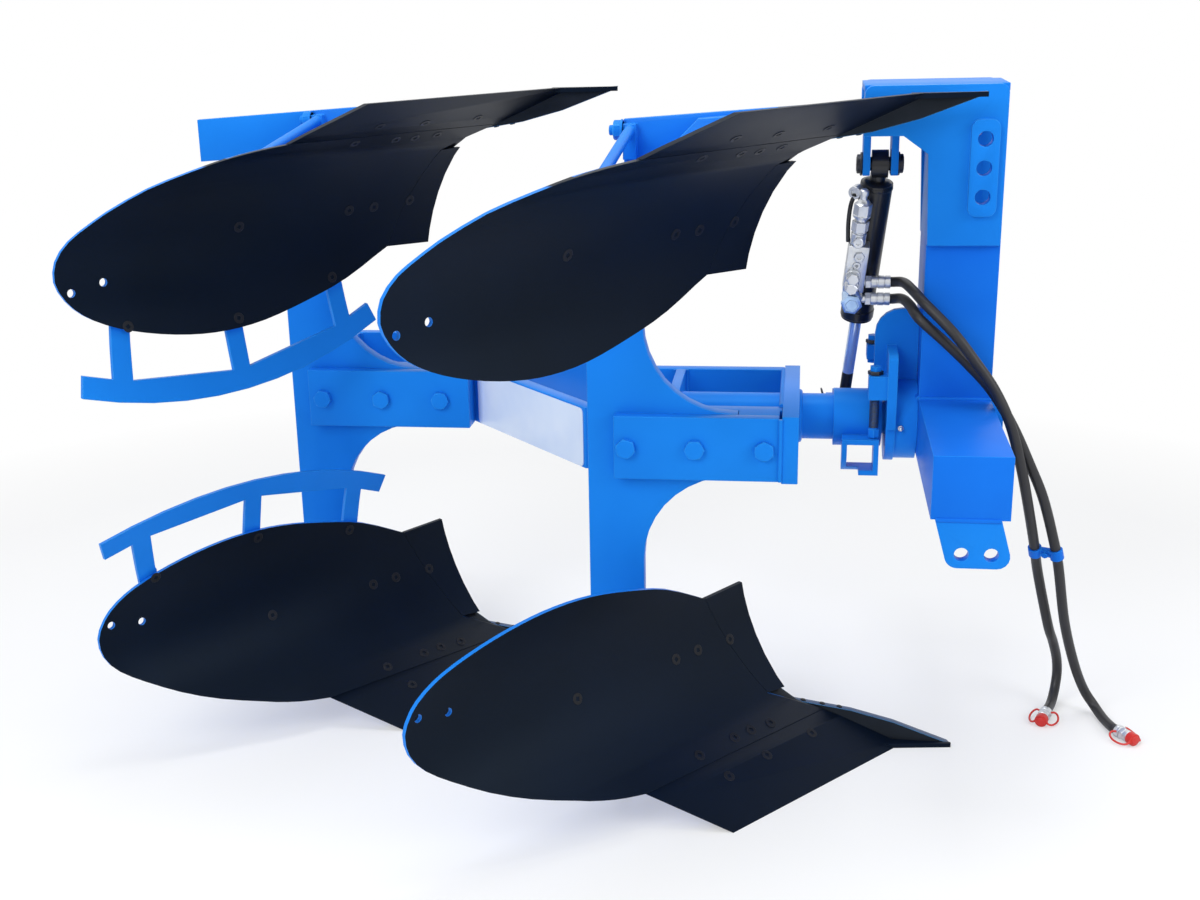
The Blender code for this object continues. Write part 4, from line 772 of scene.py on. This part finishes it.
def makeHoseClamp():
    # one clip that holds both hoses together
    spots = []
    for key in ("upper", "lower"):
        route = smoothRoute(hoses[key]["points"], hoseSize["steps"])
        index = min(range(1, len(route) - 1), key=lambda i: abs(route[i].z - hoseClamp["height"]))
        spots.append((route[index], (route[index + 1] - route[index - 1]).normalized()))
    outer = hoseSize["radius"] + hoseClamp["wall"]
    half = hoseClamp["width"] / 2
    parts = []
    for centre, run in spots:
        edge = hoseClamp["edge"]
        ring = drum(28, outer, hoseClamp["width"] - 2 * edge, edge, outer - edge)
        parts.append(place(ring, centre - run * half, run))
    (first, firstRun), (second, secondRun) = spots
    gap = second - first
    bridge = plateWithEdges((gap.length - 0.016, 0.010, 0.016), 0.0015)
    level = gap.normalized()
    upward = (firstRun + secondRun).normalized()
    upward = (upward - level * upward.dot(level)).normalized()
    parts.append(placeFrame(bridge, first + gap / 2, level, upward.cross(level), upward))
    bolt = hexBolt(0.0065, 0.005)
    out = upward.cross(level)
    out = out if out.y < 0 else -out
    parts.append(place(bolt, first + gap / 2 + out * 0.0050, out))
    # the clamp in the darker copy of the blue: painted shade
    return finishPiece(joinAll(parts), "hoseClamp", "shadedBluePaint", "headstock")


clampPiece = makeHoseClamp()
for hoseKey in hoses:
    hosePiece, hoseRoute = makeHose(hoseKey)
    riders = makeCoupler(hoseKey) + [makeStrap(hoseKey, 1), makeStrap(hoseKey, -1)]
    if hoseKey == "upper":
        riders.append(clampPiece)
print("hoses laid")


# bolts of the beam

beamBolts = {
    "radius": 0.0178, "height": 0.0105, "washer": 0.0205, "spacing": 0.118,
    "nearFace": -0.2286, "farFace": -0.147, "stud": 0.0095, "studLength": 0.030,
}


def makeBeamBolts():
    head = hexBolt(beamBolts["radius"], beamBolts["height"])
    nut = hexBolt(beamBolts["radius"], beamBolts["height"], beamBolts["washer"])
    radius = beamBolts["stud"]
    stud = turnedPiece(20, radius, [(beamBolts["studLength"], radius), (0.0015, radius * 0.8)])
    pieces = []
    turns = (0.20, 0.52, 0.05, 0.36, 0.11, 0.44)
    for index in range(6):
        rear = index > 2
        along = (index % 3 - 1) * beamBolts["spacing"]
        shift = Vector(shape["rear"]) if rear else Vector()
        near = Vector((along, beamBolts["nearFace"], 0.0)) + shift
        pieces.append(place(copyOf(head), near, (0.0, -1.0, 0.0), turns[index]))
        far = Vector((along, beamBolts["farFace"], 0.0)) + shift
        pieces.append(place(copyOf(nut), far, (0.0, 1.0, 0.0), turns[-index]))
        pieces.append(place(copyOf(stud), far, (0.0, 1.0, 0.0)))
    drop(head, nut, stud)
    return finishPiece(joinAll(pieces), "beamBolts", "bluePaint", "plough_frame")


makeBeamBolts()


# countersunk plough bolts with square sockets

ploughBolts = {
    "radius": 0.0100, "stand": 0.0007, "edge": 0.0004, "socket": 0.0052, "depth": 0.0016, "plate": 0.0085,
    "strap": 0.0085,
    "wing": [(-0.081, 0.203), (-0.164, 0.207), (-0.220, 0.207), (-0.455, 0.210)],
    "seam": [(-0.082, 0.074), (-0.131, 0.076), (-0.174, 0.076), (-0.264, 0.075)],
    "share": [(-0.017, 0.048), (-0.138, 0.048), (-0.239, 0.046)],
    "guard": [(-0.686, 0.352), (-0.471, 0.371), (-0.258, 0.329)],
    "nutted": [(-0.455, 0.210), (-0.264, 0.075), (-0.239, 0.046)],
}


def makePloughBolts():
    size = ploughBolts
    radius = size["radius"]
    head = turnedPiece(36, radius * 0.90, [(size["depth"] + size["stand"] - size["edge"], radius),
                                           (size["edge"], radius * 0.95)])
    cutWith(head, turnedPiece(4, size["socket"], [(0.006, size["socket"])]))
    nut = hexBolt(0.0105, 0.0085, 0.0125)
    heads, nuts = [], []
    for number, (rear, upper) in enumerate(bodies):
        spots = size["wing"] + size["seam"] + size["share"] + (size["guard"] if rear else [])
        for index, spot in enumerate(spots):
            point, normal = onBody(bodyPoint(*spot), bodyNormal(*spot), rear, upper)
            point = seated(point, normal, rear, upper)
            turn = 0.7 * index + number
            heads.append(place(copyOf(head), point - normal * size["depth"], normal, turn))
            if spot in size["nutted"] + size["guard"]:
                behind = size["plate"] + (size["strap"] if spot in size["guard"] else 0.0)
                nuts.append(place(copyOf(nut), point - normal * behind, -normal, turn))
    drop(head, nut)
    finishPiece(joinAll(heads), "ploughBolts", "boltBlack", "plough_frame")
    finishPiece(joinAll(nuts), "ploughBoltNuts", "bluePaint", "plough_frame")


makePloughBolts()


# screws on the landside's nose, and the nuts at its rear block

noseScrews = {
    "radius": 0.0085, "stand": 0.0020, "middle": -0.1352,
    "spots": [(0.185, 0.060), (0.232, 0.052), (0.280, 0.043), (0.330, 0.030)],
    "crest": [(0.1950, 0.0750), (0.2295, 0.0697), (0.2605, 0.0650)],
}
landsideBolts = {"spots": [(-0.095, 0.073), (-0.010, 0.068), (0.075, 0.063)],
                 "heel": [(-0.165, 0.077), (-0.315, 0.085)]}
endNut = {"at": (-0.128, -0.1512, -0.528), "radius": 0.0165, "height": 0.012, "stud": 0.0085}


def makeLandsideTrim():
    screw = turnedPiece(24, noseScrews["radius"], [(noseScrews["stand"] * 0.5, noseScrews["radius"]),
                                                   (noseScrews["stand"] * 0.5, noseScrews["radius"] * 0.55)])
    nut = hexBolt(endNut["radius"], endNut["height"], 0.0180)
    stud = turnedPiece(16, endNut["stud"], [(0.022, endNut["stud"]), (0.0012, endNut["stud"] * 0.8)])
    small = turnedPiece(20, 0.0052, [(0.0012, 0.0052), (0.0006, 0.0036)])
    screws, nuts = [], []
    for rear, upper in bodies:
        flats = noseScrews["spots"] + landsideBolts["spots"] + (landsideBolts["heel"] if rear else [])
        for along, height in flats:
            point, direction = onBody((along, -0.1282, height - shape["ground"]), (0.0, 1.0, 0.0), rear, upper)
            screws.append(place(copyOf(screw), point, direction))
        for along, height in noseScrews["crest"]:
            point, direction = onBody((along, noseScrews["middle"], height - shape["ground"]), (0.2, 0.0, 1.0),
                                      rear, upper)
            screws.append(place(copyOf(small), point, direction))
        for model in (nut, stud):
            point, direction = onBody(Vector(endNut["at"]) + right * 0.003, (-1.0, 0.0, 0.0), rear, upper)
            nuts.append(place(copyOf(model), point, direction))
    drop(screw, small, nut, stud)
    finishPiece(joinAll(screws), "noseScrews", "boltBlack", "plough_frame")
    finishPiece(joinAll(nuts), "braceNuts", "bluePaint", "plough_frame")


makeLandsideTrim()
print("bolts fitted")


# valve, its plugs and the hose fittings on the cylinder

valve = {
    "block": {"size": (0.036, 0.030, 0.088), "at": (0.176, -0.018, 0.0435), "edge": 0.0018},
    "stack": [   # along the cylinder, to the rear, out from its middle, turned profile
        (0.132, -0.021, 0.044, 24, 0.0120, [(0.0008, 0.0135), (0.020, 0.0135), (0.0010, 0.0115), (0.004, 0.0115)]),
        (0.108, -0.021, 0.044, 6, 0.0135, [(0.0010, 0.0148), (0.018, 0.0148), (0.0010, 0.0130)]),
        (0.088, -0.021, 0.044, 24, 0.0100, [(0.006, 0.0100), (0.0008, 0.0150), (0.004, 0.0156), (0.0008, 0.0150)]),
        (0.078, -0.021, 0.044, 6, 0.0140, [(0.0010, 0.0156), (0.020, 0.0156), (0.0012, 0.0130),
                                           (0.006, 0.0085), (0.0008, 0.0075)]),
        (0.052, -0.022, 0.043, 20, 0.0062, [(0.010, 0.0062), (0.0006, 0.0078), (0.008, 0.0078), (0.002, 0.0050)]),
    ],
    "faces": [   # plugs that face the viewer: along, to the rear, radius, height, sides
        (0.124, -0.021, 0.0095, 0.004, 24), (0.150, -0.016, 0.0098, 0.0055, 6), (0.167, -0.018, 0.0070, 0.003, 24),
        (0.186, -0.022, 0.0112, 0.010, 6), (0.205, -0.022, 0.0112, 0.010, 6),
    ],
    "lowPlug": {"at": (0.243, -0.017), "base": 0.0165, "hex": 0.0190, "out": (0.018, 0.052)},
    "port": {"at": (0.046, -0.030, 0.012), "radius": 0.0115, "length": 0.016},
    "pipeRadius": 0.0038,
    "pipe": [(0.050, -0.036, 0.022), (0.068, -0.041, 0.028), (0.100, -0.041, 0.032), (0.134, -0.037, 0.034)],
}


def onCylinder(along, back, out):
    return cylinderPin + down * along + across * back + nearSide * out


def socketIn(piece, origin, direction, radius, depth):
    cutter = turnedPiece(6, radius, [(depth * 2, radius)])
    place(cutter, Vector(origin) - Vector(direction) * depth, direction)
    cutWith(piece, cutter)


def makeValve():
    block = plateWithEdges(valve["block"]["size"], valve["block"]["edge"])
    along, back, out = valve["block"]["at"]
    placeFrame(block, onCylinder(along, back, out), across, nearSide, down)
    face = out + valve["block"]["size"][1] / 2
    parts = [block]
    for along, back, out, sides, radius, steps in valve["stack"]:
        parts.append(place(turnedPiece(sides, radius, steps), onCylinder(along, back, out), -down, 0.25))
    for index, (along, back, radius, height, sides) in enumerate(valve["faces"]):
        start = onCylinder(along, back, face - 0.001)
        plug = turnedPiece(sides, radius, [(height, radius), (0.0010, radius * 0.88)])
        place(plug, start, nearSide, 0.2 + 0.4 * index)
        if height < 0.006:
            socketIn(plug, start + nearSide * (height + 0.001), nearSide, radius * 0.45, 0.003)
        parts.append(plug)
        if height > 0.008:   # banjo under the hexagon, and its arm to the ferrule
            ring = drum(28, 0.0130, 0.0100, 0.0006, 0.0122)
            place(ring, start, nearSide)
            plug.data.transform(Matrix.Translation(nearSide * 0.0112))
            key = "upper" if along < 0.2 else "lower"
            centre = start + nearSide * 0.0056
            goal = Vector(hoses[key]["points"][0]) - right * 0.043
            arm = turnedPiece(20, 0.0062, [((goal - centre).length, 0.0062)])
            parts += [ring, place(arm, centre, goal - centre), crimpedFerrule(key)]
    valvePiece = finishPiece(joinAll(parts), "valve", "zincPlate", "barrel")
    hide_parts("valve_block")

    plug = valve["lowPlug"]
    low, high = plug["out"]
    base = turnedPiece(32, plug["base"], [(high - low, plug["base"]), (0.001, plug["base"] * 0.94)])
    head = turnedPiece(6, plug["hex"] * 0.94, [(0.001, plug["hex"]), (0.008, plug["hex"]),
                                               (0.0012, plug["hex"] * 0.86), (0.0, plug["hex"] * 0.60),
                                               (0.0014, plug["hex"] * 0.56)])
    place(base, onCylinder(*plug["at"], low), nearSide)
    place(head, onCylinder(*plug["at"], high + 0.0005), nearSide, 0.35)
    finishPiece(joinAll([base, head]), "lowPlug", "blueZinc", "barrel")

    port = valve["port"]
    boss = turnedPiece(32, port["radius"] * 0.94, [(0.0008, port["radius"]), (port["length"], port["radius"]),
                                                   (0.0008, port["radius"] * 0.94), (0.0, port["radius"] * 0.6),
                                                   (-0.004, port["radius"] * 0.55)])
    place(boss, onCylinder(*port["at"]), (nearSide - across * 0.5).normalized())
    finishPiece(boss, "topPort", "zincPlate", "barrel")

    spots = smoothRoute([onCylinder(*spot) for spot in valve["pipe"]], 5)
    finishPiece(tubeAlong("pipe", spots, valve["pipeRadius"]), "valvePipe", "blackPaint", "barrel")


makeValve()

barrelTrim = {
    "shoulder": (0.030, [(0.004, 0.0262), (0.003, 0.0283), (0.006, 0.0288), (0.001, 0.0283)], 0.0200),
    "gland": (0.276, [(0.001, 0.0296), (0.014, 0.0296), (0.002, 0.0280), (0.003, 0.0250)], 0.0284),
}
pinTrim = {"washer": 0.0200, "head": 0.0165, "offset": 0.0298}


def makeBarrelTrim():
    parts = []
    for along, steps, radius in barrelTrim.values():
        parts.append(place(turnedPiece(48, radius, steps), cylinderPin + down * along, down))
    finishPiece(joinAll(parts), "barrelRings", "blackPaint", "barrel")
    rings = []
    for side in (-1, 1):
        direction = right * side
        start = cylinderPin + direction * pinTrim["offset"]
        washer = drum(36, pinTrim["washer"], 0.0024, 0.0006, pinTrim["washer"] * 0.95)
        rings.append(place(washer, start, direction))
        cap = turnedPiece(28, pinTrim["head"], [(0.0050, pinTrim["head"]), (0.0012, pinTrim["head"] * 0.90)])
        rings.append(place(cap, start + direction * 0.0034, direction))
    finishPiece(joinAll(rings), "pinRings", "darkSteel", "headstock")


makeBarrelTrim()
print("cylinder dressed")


# stop screws: threads and lock nuts

stopScrews = {
    "x": 0.3055, "y": 0.066, "radius": 0.0086, "core": 0.0079, "pitch": 0.0025,
    "near": {"threads": (-0.001, 0.0520), "nut": 0.0953}, "far": {"threads": (0.0885, 0.0955), "nut": 0.1223},
}


def makeStopScrews():
    parts = []
    for side, key in ((-1, "near"), (1, "far")):
        low, high = stopScrews[key]["threads"]
        turns = int((high - low) / stopScrews["pitch"])
        steps = []
        for _ in range(turns):
            steps += [(stopScrews["pitch"] / 2, stopScrews["radius"]), (stopScrews["pitch"] / 2, stopScrews["core"])]
        thread = turnedPiece(24, stopScrews["core"], steps)
        parts.append(place(thread, (stopScrews["x"], side * stopScrews["y"], low), (0.0, 0.0, 1.0)))
        collar = drum(6, 0.0136, 0.0050, 0.0008, 0.0128)
        parts.append(place(collar, (stopScrews["x"], side * stopScrews["y"], stopScrews[key]["nut"]),
                           (0.0, 0.0, 1.0), 0.4))
    finishPiece(joinAll(parts), "stopThreads", "darkSteel", "headstock")


makeStopScrews()


# weld beads, cut from one long rippled bead

weld = {"radius": 0.0042, "ripple": 0.0036, "pitch": 0.0040, "length": 0.260, "rail": 0.055}
railWelds = [       # upright beads where ribs and end plate meet the rails
    (0.1448, -0.2290), (-0.0385, -0.1462), (-0.0595, -0.1462), (-0.0385, 0.1192), (-0.0595, 0.1192), (0.1455, -0.1462),
    (0.1455, 0.1192), (-0.5495, 0.1538), (-0.5495, 0.4192), (-0.7645, 0.1538), (-0.7645, 0.4192),
]
frameWelds = [((x, y, -weld["rail"]), (x, y, weld["rail"])) for x, y in railWelds]
frameWelds.append(((0.1445, -0.1470, 0.0570), (0.1445, 0.1190, 0.0570)))
sideWelds = [       # from, to, out to either side, height
    (0.381, 0.503, 0.0705, 0.0530), (0.382, 0.500, 0.0712, 0.3235), (0.389, 0.489, 0.4115, -0.0528),
    (0.389, 0.489, 0.3925, -0.0528),
]
headWelds = [((start, side * out, height), (end, side * out, height))
             for start, end, out, height in sideWelds for side in (-1, 1)]
headWelds += [((x, -0.068, 0.0530), (x, 0.068, 0.0530)) for x in (0.3802, 0.5036)]


def makeWelds():
    steps = []
    for _ in range(int(weld["length"] / weld["pitch"])):
        steps += [(weld["pitch"] / 2, weld["radius"]), (weld["pitch"] / 2, weld["ripple"])]
    stock = turnedPiece(10, weld["ripple"], steps)
    for name, body, lines in (("frameWelds", "plough_frame", frameWelds), ("headWelds", "headstock", headWelds)):
        beads = []
        for start, end in lines:
            bead = copyOf(stock)
            run = Vector(end) - Vector(start)
            selectOnly(bead)
            bpy.ops.object.mode_set(mode="EDIT")
            bpy.ops.mesh.select_all(action="SELECT")
            bpy.ops.mesh.bisect(plane_co=(0.0, 0.0, run.length), plane_no=(0.0, 0.0, 1.0), use_fill=True,
                                clear_outer=True)
            bpy.ops.object.mode_set(mode="OBJECT")
            beads.append(place(bead, start, run))
        # beads on the headstock in the darker copy of the blue: painted shade
        finish = "bluePaint" if body == "plough_frame" else "shadedBluePaint"
        finishPiece(joinAll(beads), name, finish, body, 60.0)
    bpy.data.objects.remove(stock)


makeWelds()

shaftWeld = {"at": (0.1755, 0.0, 0.0), "radius": 0.0435, "bead": 0.0045, "ripple": 0.0007, "segments": 72}


def makeShaftWeld():
    # ring bead where the shaft leaves the end plate
    deselectAll()
    bpy.ops.mesh.primitive_torus_add(major_segments=shaftWeld["segments"], minor_segments=8,
                                     major_radius=shaftWeld["radius"], minor_radius=shaftWeld["bead"])
    ring = bpy.context.active_object
    for vert in ring.data.vertices:
        step = round(math.atan2(vert.co.y, vert.co.x) / (2 * math.pi) * shaftWeld["segments"])
        vert.select = step % 2 == 0
    bpy.ops.object.mode_set(mode="EDIT")
    bpy.ops.transform.shrink_fatten(value=shaftWeld["ripple"])
    bpy.ops.object.mode_set(mode="OBJECT")
    place(ring, shaftWeld["at"], right)
    return finishPiece(ring, "shaftWeld", "bluePaint", "plough_frame", 60.0)


makeShaftWeld()
print("welds run")


# bare pale plate on the beam's diagonal side

palePlate = {
    "start": (-0.19979, -0.16855), "along": (-0.65779, 0.75320), "out": (-0.75320, -0.65779),
    "from": -0.0015, "to": 0.372, "low": -0.0545, "high": 0.0525, "corner": 0.010, "thick": 0.0012,
}


def makePalePlate():
    length, height = palePlate["to"] - palePlate["from"], palePlate["high"] - palePlate["low"]
    deselectAll()
    bpy.ops.mesh.primitive_cube_add(size=1.0, scale=(length, height, palePlate["thick"]))
    plate = bpy.context.active_object
    bpy.ops.object.transform_apply(location=True, rotation=True, scale=True)
    for edge in plate.data.edges:
        ends = [plate.data.vertices[index].co for index in edge.vertices]
        edge.select = abs(ends[0].z - ends[1].z) > palePlate["thick"] / 2
    for face in plate.data.polygons:
        face.select = False
    bpy.context.tool_settings.mesh_select_mode = (False, True, False)
    bpy.ops.object.mode_set(mode="EDIT")
    bpy.ops.mesh.bevel(offset=palePlate["corner"], segments=6, affect="EDGES")
    bpy.ops.object.mode_set(mode="OBJECT")
    bpy.context.tool_settings.mesh_select_mode = (True, False, False)
    along = Vector((*palePlate["along"], 0.0))
    out = Vector((*palePlate["out"], 0.0))
    up = Vector((0.0, 0.0, 1.0))
    middle = Vector((*palePlate["start"], 0.0)) + along * (palePlate["from"] + palePlate["to"]) / 2
    middle += up * (palePlate["low"] + palePlate["high"]) / 2 + out * (palePlate["thick"] / 2 + 0.0002)
    placeFrame(plate, middle, up.cross(out), up, out)
    return finishPiece(plate, "palePlate", "paleLabel", "plough_frame")


makePalePlate()


# grease nipples and the small split pin

nipples = {
    "size": [(0.0030, 0.0050), (0.0006, 0.0030), (0.0030, 0.0030), (0.0010, 0.0036), (0.0016, 0.0030),
             (0.0008, 0.0016)],
    "spots": [((0.352, 0.0, 0.0732), (0.0, 0.0, 1.0)), ((0.352, -0.0732, 0.0), (0.0, -1.0, 0.0))],
}
splitPin = {"at": (0.2175, 0.125, 0.0115), "wire": 0.0015, "ring": 0.0085}


def makeSmallTrim():
    parts = []
    for point, direction in nipples["spots"]:
        parts.append(place(turnedPiece(16, 0.0050, nipples["size"]), point, direction))
    finishPiece(joinAll(parts), "greaseNipples", "zincPlate", "headstock")
    deselectAll()
    bpy.ops.mesh.primitive_torus_add(major_segments=32, minor_segments=8, major_radius=splitPin["ring"],
                                     minor_radius=splitPin["wire"])
    ring = bpy.context.active_object
    place(ring, splitPin["at"], (1.0, 0.0, 0.3))
    finishPiece(ring, "splitPin", "darkSteel", "plough_frame")


makeSmallTrim()
print("small trim fitted")


# floor, backdrop and lamps

stage = {
    "floor": (0.93, 0.94, 0.95), "size": 40.0, "white": 1.0, "sky": 0.50, "lift": 0.42, "fade": (1.3, 2.6),
    "lamps": {
        "key": {"at": (-1.9, -3.6, 3.3), "watts": 112.0, "size": 2.4},
        "top": {"at": (0.2, 0.2, 4.6), "watts": 78.0, "size": 2.0},
        "side": {"at": (3.4, -1.6, 2.0), "watts": 38.0, "size": 1.8},
    },
}


def makeStage():
    deselectAll()
    bpy.ops.mesh.primitive_plane_add(size=stage["size"], location=(0.0, 0.0, -0.0002))
    floor = bpy.context.active_object
    floor.name = "floor"
    bpy.ops.object.transform_apply(location=True, rotation=True, scale=True)
    material, tree, shader = newMaterial("paperFloor")
    shader.inputs["Base Color"].default_value = (*stage["floor"], 1.0)
    shader.inputs["Roughness"].default_value = 0.85
    shader.inputs["Specular IOR Level"].default_value = 0.1
    spot = tree.nodes.new("ShaderNodeTexCoord")
    far = tree.nodes.new("ShaderNodeVectorMath")
    far.operation = "LENGTH"
    tree.links.new(spot.outputs["Object"], far.inputs[0])
    near, away = stage["fade"]
    fade = mathNode(tree, "SUBTRACT", far.outputs["Value"], near)
    fade = mathNode(tree, "MULTIPLY", fade, 1.0 / (away - near), True)
    fade = mathNode(tree, "MAXIMUM", fade, stage["lift"])
    rays = tree.nodes.new("ShaderNodeLightPath")
    fade = mathNode(tree, "MULTIPLY", fade, rays.outputs["Is Camera Ray"])
    glow = newNode(tree, "ShaderNodeEmission", Color=(1.0, 1.0, 1.0, 1.0), Strength=stage["white"])
    blend = tree.nodes.new("ShaderNodeMixShader")
    tree.links.new(fade, blend.inputs[0])
    tree.links.new(shader.outputs[0], blend.inputs[1])
    tree.links.new(glow.outputs[0], blend.inputs[2])
    tree.links.new(blend.outputs[0], tree.nodes["Material Output"].inputs["Surface"])
    floor.data.materials.append(material)

    world = bpy.data.worlds.new("studio")
    bpy.context.scene.world = world
    world.use_nodes = True
    tree = world.node_tree
    background = tree.nodes["Background"]
    rays = tree.nodes.new("ShaderNodeLightPath")
    seen = mathNode(tree, "MAXIMUM", rays.outputs["Is Camera Ray"], rays.outputs["Is Glossy Ray"])
    seen = mathNode(tree, "MAXIMUM", seen, rays.outputs["Is Transmission Ray"])
    strength = mathNode(tree, "MULTIPLY", seen, stage["white"] - stage["sky"])
    strength = mathNode(tree, "ADD", strength, stage["sky"])
    tree.links.new(strength, background.inputs["Strength"])
    background.inputs["Color"].default_value = (1.0, 1.0, 1.0, 1.0)

    centre = Vector((0.2, 0.1, 0.5))
    for name, lamp in stage["lamps"].items():
        data = bpy.data.lights.new(name, "AREA")
        data.energy = lamp["watts"]
        data.size = lamp["size"]
        light = bpy.data.objects.new(name, data)
        bpy.context.scene.collection.objects.link(light)
        start = Vector(lamp["at"])
        turn = (centre - start).to_track_quat("-Z", "Y").to_matrix().to_4x4()
        light.matrix_world = Matrix.Translation(start) @ turn
    bpy.context.scene.view_settings.view_transform = "Standard"


makeStage()
print("stage set")
